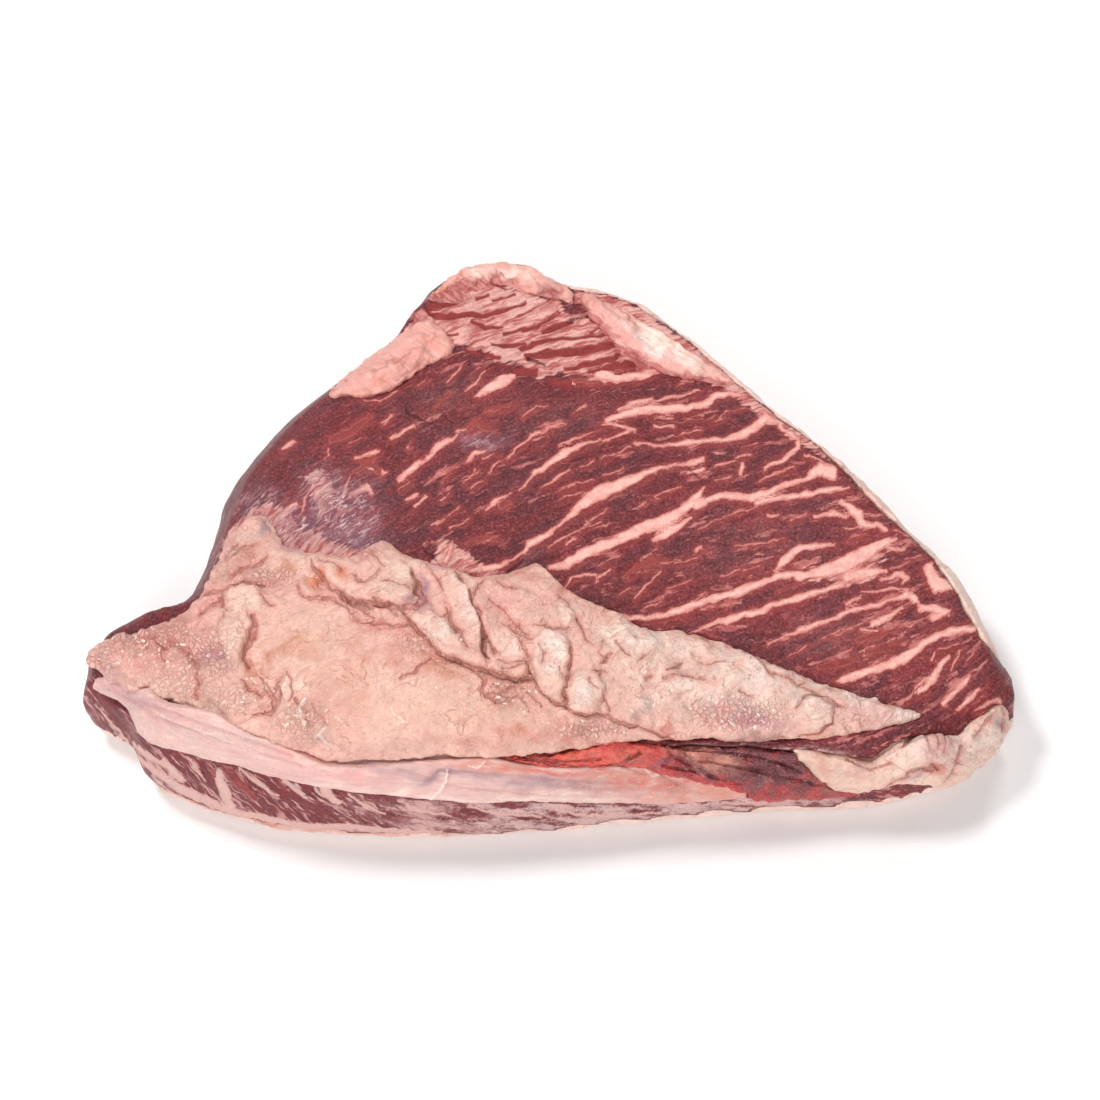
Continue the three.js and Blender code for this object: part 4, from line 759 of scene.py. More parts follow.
class Skin:
    """A remade copy of a CAD node, held as arrays while it is worked."""

    def __init__(self, node, voxel, rounds=4):
        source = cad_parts[node].data
        work = bmesh.new()
        work.from_mesh(source)
        bmesh.ops.remove_doubles(work, verts=work.verts, dist=1e-6)
        mesh = bpy.data.meshes.new(node + "_copy")
        work.to_mesh(mesh)
        work.free()
        holder = bpy.data.objects.new(node + "_copy", mesh)
        bpy.context.collection.objects.link(holder)
        even = holder.modifiers.new("Even faces", "REMESH")
        even.mode = "VOXEL"
        even.voxel_size = voxel
        graph = bpy.context.evaluated_depsgraph_get()
        self.mesh = bpy.data.meshes.new_from_object(holder.evaluated_get(graph))
        bpy.data.objects.remove(holder)
        self.read()
        self.relax(rounds)

    def read(self):
        self.points = vectors(self.mesh.vertices, "co")
        edges = np.empty(len(self.mesh.edges) * 2, np.int32)
        self.mesh.edges.foreach_get("vertices", edges)
        self.edges = edges.reshape(-1, 2)

    def write(self):
        self.mesh.vertices.foreach_set("co", self.points.astype(np.float32).ravel())
        self.mesh.update()

    def mean_of_neighbours(self, values):
        first, second = self.edges.T
        count = len(values)
        shares = np.bincount(first, minlength=count) + np.bincount(second, minlength=count)
        total = np.stack([
            np.bincount(first, values[second, k], count) + np.bincount(second, values[first, k], count)
            for k in range(values.shape[1])], 1)
        return total / np.maximum(shares, 1)[:, None]

    def relax(self, rounds):
        """Smooths without shrinking: each round pulls in, then pushes back out."""
        for step in range(rounds * 2):
            amount = 0.5 if step % 2 == 0 else -0.52
            self.points += (self.mean_of_neighbours(self.points) - self.points) * amount
        self.write()

    def normals(self):
        self.write()
        return vectors(self.mesh.vertex_normals, "vector")

    def refine(self, wanted):
        """Halves the faces whose corners are all wanted."""
        work = bmesh.new()
        work.from_mesh(self.mesh)
        work.verts.ensure_lookup_table()
        edges = {edge for face in work.faces if all(wanted[v.index] for v in face.verts)
                 for edge in face.edges}
        bmesh.ops.subdivide_edges(work, edges=list(edges), cuts=1, use_grid_fill=True)
        work.to_mesh(self.mesh)
        work.free()
        self.read()

    def seen(self):
        """Picture coordinates, and how squarely each point faces the camera, 0 to 1."""
        normals = self.normals()
        to_camera = CAMERA_PLACE - self.points
        to_camera /= np.linalg.norm(to_camera, axis=1)[:, None]
        facing = (normals * to_camera).sum(1)
        return picture_spots(self.points), smooth_step(0.02, 0.3, facing), normals

    def push(self, amount, normals):
        """Moves the points along their normals, in millimetres, and keeps them in the CAD box."""
        self.points += normals * (amount * MM)[:, None]
        self.points = np.clip(self.points, CAD_LOW + INSIDE_BOX, CAD_HIGH - INSIDE_BOX)

    def store(self, name, values):
        layer = self.mesh.attributes.new(name, "FLOAT_VECTOR", "POINT")
        layer.data.foreach_set("vector", values.astype(np.float32).ravel())

    def finish(self, name, finish, slot, *nodes):
        """Makes the object that stands for the nodes."""
        self.write()
        for attribute in [a.name for a in self.mesh.attributes if a.name.startswith("sharp")]:
            self.mesh.attributes.remove(self.mesh.attributes[attribute])
        self.mesh.shade_smooth()
        self.mesh.name = name
        self.mesh.materials.clear()
        self.mesh.materials.append(finish)
        return place(name, self.mesh, slot, *nodes)


def place(name, mesh, slot, *nodes):
    piece = bpy.data.objects.new(name, mesh)
    bpy.context.collection.objects.link(piece)
    if nodes:
        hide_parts(*nodes)
    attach(piece, "root")
    return piece


def relief(spots, seen, creases=(), lips=(), lobes=(), pits=(), ridges=()):
    """Height in millimetres from creases, lips, lobes and pits read in the picture."""
    height = np.zeros(len(spots))
    for rise, soft, *polygon in lobes:
        depth = inside_polygon(spots, polygon)
        share = np.clip(depth / soft, 0, 1)
        height += rise * np.sqrt(1 - (1 - share) ** 2)
    for rise, reach, *points in lips:
        near, gap, side, _ = stroke_distance(spots, as_stroke((1, *points)), reach)
        fade = np.clip(1 - gap / reach, 0, 1)
        height[near] += rise * fade * (1 - smooth_step(-1.2, 1.2, side))
    for depth, width, *points in creases:
        near, gap, _, _ = stroke_distance(spots, as_stroke((width, *points)), width * 4 + 4)
        height[near] -= depth * CREASE_DEPTH * np.exp(-(gap / (width + CREASE_EDGE)) ** 2)
    for rise, width, *points in ridges:
        near, gap, _, _ = stroke_distance(spots, as_stroke((width, *points)), width * 4 + 4)
        height[near] += rise * np.exp(-(gap / (width * 1.2 + 0.9)) ** 2)
    for depth, x, y, half_length, half_height in pits:
        reach = ((spots[:, 0] - x) / half_length) ** 2 + ((spots[:, 1] - y) / half_height) ** 2
        height -= depth * np.exp(-reach)
    return height * seen


def drawn_lines(spots, seen, lines, thin=0.25, by_depth=0.5):
    """A lines attribute: sideways distance, distance, and half width scaled by depth."""
    strokes = [(width * (thin + by_depth * min(depth, 1.6)), *points)
               for depth, width, *points in lines]
    side, distance, width, _ = nearest_lines(spots, ((strokes, 1),), 10)
    hidden = seen < FOLD_BACK
    side[hidden], distance[hidden], width[hidden] = 10, 10, 0
    return np.stack((side, distance, width), 1)


# ---- Finishes.

class Number:
    """A number in a finish; arithmetic on it adds Math nodes."""

    def __init__(self, finish, socket):
        self.finish = finish
        self.socket = socket

    def math(self, operation, *others):
        node = self.finish.add("ShaderNodeMath", {"operation": operation}, [self, *others])
        return Number(self.finish, node.outputs[0])

    def __add__(self, other):
        return self.math("ADD", other)

    def __sub__(self, other):
        return self.math("SUBTRACT", other)

    def __mul__(self, other):
        return self.math("MULTIPLY", other)

    def __rsub__(self, other):
        node = self.finish.add("ShaderNodeMath", {"operation": "SUBTRACT"}, [other, self])
        return Number(self.finish, node.outputs[0])

    __radd__ = __add__
    __rmul__ = __mul__

    def step(self, low, high):
        """0 below low, 1 above high, smooth between."""
        node = self.finish.add("ShaderNodeMapRange", {"interpolation_type": "SMOOTHSTEP"},
                               {"Value": self, "From Min": low, "From Max": high})
        return Number(self.finish, node.outputs["Result"])


class Tree:
    """A node tree under construction."""

    def __init__(self, tree):
        self.tree = tree

    def add(self, kind, settings=None, values=()):
        """A node of a kind, with its settings made first, then its sockets' values or links."""
        node = self.tree.nodes.new(kind)
        for key, value in (settings or {}).items():
            setattr(node, key, value)
        pairs = values.items() if isinstance(values, dict) else enumerate(values)
        for key, value in pairs:
            socket = node.inputs[key]
            if isinstance(value, Number):
                value = value.socket
            if isinstance(value, bpy.types.NodeSocket):
                self.tree.links.new(value, socket)
            else:
                socket.default_value = value
        return node


class Finish(Tree):
    """A procedural material under construction."""

    def __init__(self, name):
        self.material = bpy.data.materials.new(name)
        self.material.use_nodes = True
        super().__init__(self.material.node_tree)
        self.tree.nodes.clear()

    def lay(self, name):
        """An attribute's colour or vector."""
        return self.add("ShaderNodeAttribute", {"attribute_name": name}).outputs["Vector"]

    def split(self, vector):
        node = self.add("ShaderNodeSeparateXYZ", None, [vector])
        return [Number(self, output) for output in node.outputs]

    def join(self, x, y, z=0.0):
        return self.add("ShaderNodeCombineXYZ", None, [x, y, z]).outputs[0]

    def place(self, turn=(0, 0, 0), scale=(1, 1, 1)):
        """Object coordinates, turned in degrees and scaled."""
        source = self.add("ShaderNodeTexCoord").outputs["Object"]
        turned = self.add("ShaderNodeMapping", {"vector_type": "TEXTURE"}, {
            "Vector": source, "Rotation": [math.radians(a) for a in turn], "Scale": scale})
        return turned.outputs[0]

    def grains(self, vector, scale, detail=2.0, rough=0.5, twist=0.0):
        node = self.add("ShaderNodeTexNoise", None, {
            "Vector": vector, "Scale": scale, "Detail": detail, "Roughness": rough,
            "Distortion": twist})
        return Number(self, node.outputs["Fac"])

    def cells(self, vector, scale):
        """How far a point is from the nearest border between cells."""
        node = self.add("ShaderNodeTexVoronoi", {"feature": "DISTANCE_TO_EDGE"}, {
            "Vector": vector, "Scale": scale})
        return Number(self, node.outputs["Distance"])

    def warped(self, vector, scale, amount):
        """Coordinates pushed about by noise, so that a cell pattern loses its straight edges."""
        noise = self.add("ShaderNodeTexNoise", None, {"Vector": vector, "Scale": scale, "Detail": 2.0})
        push = self.add("ShaderNodeVectorMath", {"operation": "SCALE"}, {
            0: noise.outputs["Color"], "Scale": amount})
        return self.add("ShaderNodeVectorMath", None, {0: vector, 1: push.outputs[0]}).outputs[0]

    def mix(self, share, under, over):
        """One colour laid over another."""
        node = self.add("ShaderNodeMix", {"data_type": "RGBA"}, {
            "Factor": share, 6: _colour(under), 7: _colour(over)})
        return node.outputs[2]

    def bright(self, colour, share):
        node = self.add("ShaderNodeVectorMath", {"operation": "SCALE"}, {0: colour, "Scale": share})
        return node.outputs[0]

    def lines(self, name):
        """How far inside a line read in the picture a point is, in pixels."""
        side, distance, width = self.split(self.lay(name))
        return width - side.math("ABSOLUTE").math("MAXIMUM", distance - LINE_END)

    def has_lines(self, name):
        """1 near lines that were read in the picture, 0 elsewhere."""
        _, _, width = self.split(self.lay(name))
        return width.step(0.0, 0.2)

    def glints(self, body, wet, scale=430.0):
        """Short winding streaks where a wet surface shines: the mask of painted highlights, which also
        lifts the bump a little.
        """
        winding = self.grains(body, scale, 2.0, 0.5, 2.4)
        patchy = self.grains(body, scale * 0.36, 2.0, 0.5)
        line = 1 - (winding - 0.5).math("ABSOLUTE").step(0.004, 0.024)
        return line * (patchy + wet * 0.10).step(0.56, 0.66) * wet

    def close(self, colour, roughness, height, bump, depth, juice, glow, radius):
        """The shader: wet flesh with a little light going into it."""
        normal = self.add("ShaderNodeBump", None, {
            "Strength": bump, "Distance": depth, "Height": height}).outputs[0]
        shader = self.add("ShaderNodeBsdfPrincipled", None, {
            "Base Color": colour, "Roughness": roughness, "Normal": normal,
            "Subsurface Weight": glow, "Subsurface Radius": radius, "Subsurface Scale": 1.0,
            "Specular IOR Level": juice})
        self.add("ShaderNodeOutputMaterial", None, {"Surface": shader.outputs[0]})
        return self.material


def _colour(value):
    return value if isinstance(value, bpy.types.NodeSocket) else (*value[:3], 1.0)


GRAIN_AXIS_TURN = (0, 29, 22)


def lean_finish(colours):
    f = Finish("Marbled lean")
    across, along, traced = f.split(f.lay("grain"))
    pale, marbling, kind = f.split(f.lay("zone"))
    veil, strip, worn = f.split(f.lay("veil"))
    paint = f.lay("paint")
    body = f.place()
    # Fibres and fine marbling run along the grain, traced where the picture shows it.
    elsewhere = 1 - traced
    flow = f.join(across * 0.115, along * 0.018)
    fine_flow = f.join(across * 0.34, along * 0.052)
    streaks = (f.grains(flow, 1.0, 3.0, 0.62, 0.0) * traced
               + f.grains(f.place(GRAIN_AXIS_TURN, (0.0125, 0.0016, 0.0016)), 1.0, 3.0, 0.55, 0.4)
               * elsewhere)
    fibres = (f.grains(fine_flow, 1.0, 3.0, 0.6) * traced
              + f.grains(f.place(GRAIN_AXIS_TURN, (0.0042, 0.0007, 0.0007)), 1.0, 3.0, 0.6) * elsewhere)
    bundles = f.grains(f.join(across * 0.05, along * 0.017, 3.0), 1.0, 3.0, 0.6, 0.4)
    speckle = f.grains(body, 1150.0, 3.0, 0.75)
    mottle = f.grains(body, 210.0, 3.0, 0.6)
    wander = f.grains(body, 520.0, 3.0, 0.65)
    ragged = (wander - 0.5) * 1.4 + (fibres - 0.5) * 3.0 + (speckle - 0.5) * 2.4
    side, _, _ = f.split(f.lay("vein"))
    field = f.lines("vein") + ragged
    vein = field.step(-0.7, 1.0)
    core = field.step(0.4, 3.4)
    halo = (field + side.step(-2.0, 2.0) * 2.2).step(-4.5, 0.0)
    fine = (streaks + marbling * 0.15 + (speckle - 0.5) * 0.10).step(0.60, 0.67)
    hair = (fibres + marbling * 0.08 + (speckle - 0.5) * 0.2).step(0.60, 0.70) * 0.6
    dark_streak = (0 - kind).step(0.3, 0.6)
    red_streak = kind.step(0.3, 0.6)
    # Bundles of fibres are redder or greyer by turns.
    meat = f.mix(bundles.step(0.36, 0.64), f.mix(0.62, paint, tone(88, 42, 50)),
                 f.mix(0.30, paint, tone(128, 42, 48)))
    meat = f.bright(meat, fibres * 1.2 + mottle * 0.4 + speckle * 3.4 - 1.45)
    meat = f.mix(halo * 0.42 * (1 - dark_streak), meat, colours.lean_edge)
    # Pale grey-pink speckles are painted sheen of the wet fibres.
    meat = f.mix(speckle.step(0.55, 0.68) * 0.36, meat, tone(176, 122, 126))
    meat = f.mix(hair, meat, tone(176, 98, 98))
    grained = f.mix(mottle.step(0.40, 0.60), tone(182, 96, 94), colours.thin_vein)
    meat = f.mix(fine * 0.85, meat, f.bright(grained, 0.4 + speckle * 0.8 + fibres * 0.4))
    # The cut strip along the front: dark bundles between slanted grey-pink bands.
    cut = f.mix((streaks + (fibres - 0.5) * 0.8 + (wander - 0.5) * 0.2).step(0.53, 0.63),
                f.bright(tone(126, 50, 56), fibres * 1.4 + speckle * 1.6 - 0.6),
                f.bright(tone(192, 138, 134), 0.7 + fibres * 0.6))
    cut = f.mix((bundles + (fibres - 0.5) * 0.6).step(0.60, 0.70) * 0.8, cut, tone(216, 178, 172))
    cut = f.mix((1 - mottle).step(0.54, 0.64) * 0.5, cut, tone(132, 48, 50))
    cut = f.mix(worn * (streaks + (speckle - 0.5) * 0.3).step(0.38, 0.56) * 0.8,
                cut, tone(214, 176, 172))
    meat = f.mix(strip, meat, f.bright(cut, 0.55 + speckle * 0.9))
    fat = f.mix(core, colours.thin_vein, colours.vein)
    fat = f.mix(mottle.step(0.46, 0.62) * 0.5, fat, tone(226, 148, 138))
    fat = f.bright(fat, 0.66 + speckle * 0.56 + wander * 0.16)
    fat = f.mix(strip * 0.8, fat, f.bright(tone(214, 174, 166), 0.6 + speckle * 0.7))
    red = f.mix(mottle.step(0.42, 0.6), tone(172, 74, 68), tone(142, 58, 58))
    membrane = f.mix(fibres.step(0.40, 0.62), tone(178, 88, 84), tone(232, 172, 162))
    membrane = f.mix(bundles.step(0.5, 0.62) * 0.6, membrane, tone(234, 184, 176))
    membrane = f.bright(membrane, 0.58 + speckle * 0.80)
    held = (pale + (wander - 0.5) * 4.0 + (fibres - 0.5) * 14.0
            + (streaks - 0.5) * 12.0).step(-1.4, 1.6)
    flesh = f.mix(held, meat, membrane)
    shown = f.mix(dark_streak, fat, f.bright(tone(142, 50, 50), fibres * 1.0 + speckle * 1.6 - 0.3))
    colour = f.mix(vein, flesh, shown)
    colour = f.mix(vein * red_streak, colour, f.mix(field.step(-1.0, 3.0) * 0.75, flesh, red))
    # A thin bluish film with white wisps lies on the left.
    wisps = f.grains(f.place((0, 0, 40), (0.006, 0.0016, 0.0016)), 1.0, 4.0, 0.65, 1.6)
    tufts = f.grains(f.place((0, 0, 55), (0.007, 0.004, 0.004)), 1.0, 3.0, 0.6, 1.2)
    colour = f.mix(veil * (0.35 + wander * 0.5), colour, tone(124, 76, 92))
    colour = f.mix(veil * tufts.step(0.56, 0.66) * 0.8, colour, tone(206, 150, 150))
    colour = f.mix(veil * wisps.step(0.53, 0.62) * 0.9, colour, tone(228, 196, 194))
    # Painted shade darkens the cracks.
    crack = (f.lines("crack") + (speckle - 0.5) * 2.0).step(-1.0, 0.9)
    colour = f.mix(crack * 0.7, colour, tone(62, 20, 26))
    raised = (f.lines("vein").step(-0.9, 1.1) * (1 - dark_streak) * 0.3
              + fibres * 0.6 + speckle * 0.75 - crack * 0.6
              + wisps * veil * 0.8)
    rough = 0.48 - mottle * 0.16 + vein * 0.04
    return f.close(colour, rough, raised, 0.6, 0.0011, 0.26, 0.04, (0.0012, 0.0005, 0.0004))


def fat_finish(name, main, hollow_shade, veil, scale=1.0, gloss=0.42, grain=1.0, scales=False):
    """Soft fat: painted colour, pink films, fine wrinkles, creases and wet glints."""
    f = Finish(name)
    paint = f.lay("paint")
    wet, scaly, _ = f.split(f.lay("wet"))
    body = f.place()
    wander = f.grains(body, 120.0 * scale, 4.0, 0.6, 0.6)
    films = f.grains(body, 260.0 * scale, 4.0, 0.66, 1.6)
    speckle = f.grains(body, 1050.0, 3.0, 0.75)
    wrinkles = f.grains(f.place((0, 0, 24), (1.7, 1, 1)), 620.0 * scale, 3.0, 0.62, 1.4)
    # Fine folds run where a slow noise crosses its middle value.
    folded = f.grains(f.place((0, 0, 30), (1.6, 1, 1)), 80.0 * scale, 3.0, 0.55, 1.2)
    folds = (1 - (folded - 0.5).math("ABSOLUTE").step(0.0, 0.028)) * wander.step(0.48, 0.60)
    # The wrinkles' crests are painted lighter and their troughs darker in the hollow shade colour:
    # painted light and shade.
    colour = f.bright(paint, 0.48 + wander * 0.46 + speckle * 0.22 + wrinkles * 0.24)
    colour = f.mix(films.step(0.52, 0.68) * 0.5 * grain, colour, veil)
    colour = f.mix((1 - wrinkles).step(0.54, 0.72) * 0.40 * grain, colour, hollow_shade)
    colour = f.mix((1 - wander).step(0.54, 0.70) * 0.35, colour, main)
    colour = f.mix(speckle.step(0.60, 0.74) * 0.35, colour, tone(250, 232, 222))
    # Painted shade along the fine folds.
    colour = f.mix(folds * 0.30 * grain, colour, hollow_shade)
    if scales:
        # Small pink scales where connective tissue was pulled off.
        net = 1 - f.cells(f.warped(body, 300.0, 0.0022), 560.0).step(0.02, 0.17)
        sunk = net * scaly * 0.8
        colour = f.mix(net * scaly * 0.55, colour, tone(204, 116, 108))
        # The pale tops between the scales are painted highlights.
        scale_highlights = (1 - net) * scaly * (speckle + films - 0.5).step(0.45, 0.7)
        colour = f.mix(scale_highlights * 0.36, colour, tone(250, 228, 220))
    # Creases are thin and dark with painted shade, with a pink flush along them.
    line = f.lines("crack") + (speckle - 0.5) * 1.8
    flush = (line + (wander - 0.5) * 6.0 + (films - 0.5) * 6.0).step(-6.0, 0.5)
    colour = f.mix(flush * 0.42 * f.has_lines("crack"), colour, tone(212, 126, 114))
    crease = (line + (wander - 0.5) * 3.0).step(-0.8, 0.8)
    shade = f.mix(wander.step(0.4, 0.6), tone(134, 62, 56), tone(184, 106, 88))
    colour = f.mix(crease * (0.15 + films.step(0.40, 0.60) * 0.55), colour, shade)
    thread = (f.lines("thread") + (speckle - 0.5) * 1.5).step(-0.5, 0.7)
    colour = f.mix(thread * 0.8, colour, tone(250, 234, 224))
    # Painted highlights: pale winding glints on the wet places.
    glint = f.glints(body, wet)
    colour = f.mix(glint * 0.75, colour, tone(255, 247, 242))
    gleam = (f.grains(body, 70.0, 3.0, 0.6) + wander * 0.2 + wet * 0.22).step(0.56, 0.68)
    height = (films * 0.7 + wrinkles * 0.5 + speckle * 0.20 + glint * 0.5
              - crease * 0.8 - folds * 0.35 * grain)
    if scales:
        height = height - sunk
    rough = gloss + 0.04 - gleam * 0.20 - wet * 0.14
    return f.close(colour, rough, height, 0.72, 0.0018, 0.8, 0.14, (0.002, 0.0009, 0.0007))


def trimmed_finish():
    """Thin fat scraped over the lean: its border breaks up into streaks."""
    f = Finish("Trimmed fat")
    worn, _, _ = f.split(f.lay("border"))
    paint = f.lay("paint")
    body = f.place()
    speckle = f.grains(body, 1050.0, 3.0, 0.75)
    strands = f.grains(f.place((0, 0, -38), (0.014, 0.0015, 0.0015)), 1.0, 4.0, 0.62, 0.3)
    wander = f.grains(body, 150.0, 4.0, 0.6, 0.8)
    colour = f.bright(paint, 0.62 + wander * 0.24 + speckle * 0.34 + strands * 0.20)
    colour = f.mix(strands.step(0.54, 0.68) * 0.30, colour, tone(214, 134, 124))
    colour = f.mix((1 - strands).step(0.54, 0.70) * 0.26, colour, tone(250, 222, 214))
    meat = f.bright(tone(172, 84, 80), 0.4 + speckle * 1.2)
    meat = f.mix(strands.step(0.44, 0.56) * 0.8, meat, tone(214, 142, 134))
    bare = (0 - worn + (strands - 0.5) * 14.0 + (wander - 0.5) * 6.0).step(-1.0, 2.0)
    colour = f.mix(bare, colour, meat)
    # Painted shade in the creases.
    crease = (f.lines("crack") + (speckle - 0.5) * 3.0).step(-1.5, 1.5)
    colour = f.mix(crease * 0.6, colour, tone(168, 82, 74))
    height = strands * 0.7 + wander * 0.6 + speckle * 0.4 - bare * 0.3 - crease * 0.4
    return f.close(colour, 0.42 - wander * 0.14, height, 0.6, 0.0014, 0.5, 0.12,
                   (0.002, 0.0009, 0.0007))


def sheath_finish():
    f = Finish("Sheath")
    paint = f.lay("paint")
    wet, _, _ = f.split(f.lay("wet"))
    body = f.place()
    strands = f.grains(f.place((0, 0, -9), (0.03, 0.0011, 0.0011)), 1.0, 4.0, 0.62, 0.3)
    cloud = f.grains(body, 120.0, 4.0, 0.6, 0.4)
    films = f.grains(body, 330.0, 4.0, 0.66, 1.4)
    speckle = f.grains(body, 1100.0, 3.0, 0.7)
    colour = f.bright(paint, 0.60 + strands * 0.26 + speckle * 0.26 + cloud * 0.20)
    colour = f.mix(strands.step(0.56, 0.68) * 0.30, colour, tone(248, 228, 218))
    colour = f.mix((1 - strands).step(0.55, 0.70) * 0.35, colour, tone(204, 146, 142))
    colour = f.mix(films.step(0.56, 0.70) * 0.30, colour, tone(222, 156, 146))
    # Painted shade in the creases.
    crease = (f.lines("crack") + (speckle - 0.5) * 2.5).step(-2.0, 1.6)
    colour = f.mix(crease * 0.40, colour, tone(176, 110, 104))
    thread = (f.lines("thread") + (speckle - 0.5) * 1.4).step(-0.5, 0.7)
    colour = f.mix(thread * 0.6, colour, tone(250, 226, 216))
    # Painted highlights: pale winding glints on the wet places.
    glint = f.glints(body, wet, 520.0)
    colour = f.mix(glint * 0.65, colour, tone(255, 246, 242))
    height = strands * 0.7 + speckle * 0.22 + cloud * 0.4 + films * 0.3 + glint * 0.4 - crease * 0.4
    gleam = cloud.step(0.42, 0.62)
    return f.close(colour, 0.40 - gleam * 0.12 - wet * 0.14, height, 0.55, 0.0013, 0.6, 0.18,
                   (0.0028, 0.0014, 0.001))


def tissue_finish(colours):
    f = Finish("Wet seam tissue")
    paint = f.lay("paint")
    wet, _, _ = f.split(f.lay("wet"))
    body = f.place()
    folds = f.grains(f.place((0, 0, -8), (0.009, 0.0024, 0.0024)), 1.0, 4.0, 0.6, 1.4)
    clots = f.grains(body, 330.0, 4.0, 0.65, 1.0)
    speckle = f.grains(body, 1000.0, 3.0, 0.7)
    colour = f.bright(paint, 0.50 + folds * 0.8 + speckle * 0.46)
    colour = f.mix(folds.step(0.58, 0.70) * 0.35, colour, tone(214, 92, 86))
    colour = f.mix((1 - clots).step(0.56, 0.70) * 0.5, colour, colours.clot)
    # Painted shade in the creases.
    crease = f.lines("crack").step(-1.0, 1.0)
    colour = f.mix(crease * 0.7, colour, tone(84, 22, 28))
    thread = (f.lines("thread") + (speckle - 0.5) * 1.6 + (clots - 0.55) * 7.0).step(-0.5, 0.9)
    colour = f.mix(thread * 0.5, colour, tone(232, 160, 148))
    # Painted highlights: pale winding glints on the wet places.
    glint = f.glints(body, wet, 360.0)
    colour = f.mix(glint * 0.95, colour, tone(252, 222, 216))
    height = folds * 0.9 + clots * 0.8 + glint * 0.6 + speckle * 0.1 - crease * 0.5 + thread * 0.3
    return f.close(colour, 0.24 - clots.step(0.4, 0.6) * 0.12, height, 0.9, 0.0019, 0.7, 0.1,
                   (0.002, 0.0007, 0.0006))


# ---- The grain of the muscle, from the way its veins run.

def flow_terms(spots):
    """The polynomial terms of the flow at some spots, and their slopes in x and y."""
    x, y = (spots[:, 0] - 620) / 300, (spots[:, 1] - 520) / 300
    powers = [(i, j) for i in range(5) for j in range(5) if 0 < i + j <= 4]
    terms = np.stack([x ** i * y ** j for i, j in powers], 1) * 300
    slope_x = np.stack([i * x ** max(i - 1, 0) * y ** j for i, j in powers], 1)
    slope_y = np.stack([j * x ** i * y ** max(j - 1, 0) for i, j in powers], 1)
    return terms, slope_x, slope_y


def fit_flow():
    """Weights of the two flow coordinates: across the grain and along it."""
    middles, ways, weights = [], [], []
    strokes = [*BROAD_VEINS, *THIN_VEINS, *APEX_STREAKS, *((1, *hint) for hint in GRAIN_HINTS)]
    for stroke in strokes:
        line = as_stroke(stroke)[:, :2]
        hint = stroke[0] == 1 and stroke[1:] in GRAIN_HINTS
        for start, end in zip(line, line[1:]):
            run = end - start
            if run[0] < 0:
                run = -run
            length = math.hypot(*run)
            if length > 4 and abs(run[1]) < 1.4 * run[0]:
                middles.append((start + end) / 2)
                ways.append(run / length)
                weights.append(math.sqrt(length) * (5 if hint else 1))
    middles, ways, weights = np.array(middles), np.array(ways), np.array(weights)[:, None]
    _, slope_x, slope_y = flow_terms(middles)
    forward = (slope_x * ways[:, :1] + slope_y * ways[:, 1:]) * weights
    sideways = (slope_y * ways[:, :1] - slope_x * ways[:, 1:]) * weights
    steady = np.eye(forward.shape[1]) * 0.35
    rows = np.vstack((forward, sideways, steady))
    none, one, rest = np.zeros(len(forward)), weights[:, 0], np.zeros(len(steady))
    across = np.linalg.lstsq(rows, np.concatenate((none, one, rest)), rcond=None)[0]
    along = np.linalg.lstsq(rows, np.concatenate((one, none, rest)), rcond=None)[0]
    return across, along


def strip_slant():
    """How far down the grain of the front strip has run at every 20 pixels from the left."""
    slopes = np.interp(np.arange(0, 1100, 20.0), (90, 220, 330, 450, 620), (1.25, 1.0, 0.62, 0.16, 0.0))
    return np.cumsum(slopes) * 20.0


def flesh_colour(name, default, about):
    return FloatVectorProperty(name=name, subtype="COLOR", size=3, min=0, max=1, default=default,
                               description=about)


class PicanhaLook(bpy.types.PropertyGroup):
    """Colours of the meat and its fat."""
    lean: flesh_colour("Lean", tone(114, 40, 42), "Main colour of the lean face")
    lean_edge: flesh_colour("Vein edge", tone(166, 68, 64), "Lean right beside a fat vein")
    vein: flesh_colour("Vein", tone(244, 188, 176), "Broad fat veins")
    thin_vein: flesh_colour("Fine marbling", tone(212, 132, 124), "Fine fat between the fibres")
    slab: flesh_colour("Seam fat", tone(238, 186, 170), "The slab of seam fat")
    # Painted shade colour for the seam fat's low places.
    slab_hollow_shade: flesh_colour("Seam fat hollow shade", tone(206, 132, 114), "Low places in the seam fat")
    film: flesh_colour("Film", tone(226, 152, 146), "Pink film on the fat")
    sheath: flesh_colour("Sheath", tone(226, 182, 174), "The silverskin sheath")
    tissue: flesh_colour("Seam tissue", tone(196, 54, 52), "Wet tissue in the seam")
    clot: flesh_colour("Clotted spots", tone(92, 26, 34), "Dark spots in the wet tissue")
    cap: flesh_colour("Fat cap", tone(252, 216, 204), "The fat cap's outside")
    end: flesh_colour("End fat", tone(244, 204, 186), "The roll of fat round the tip")
    trimmed: flesh_colour("Trimmed fat", tone(232, 168, 156), "Fat left on the lean's edges")
    floor: flesh_colour("Floor", tone(250, 250, 250), "The floor")


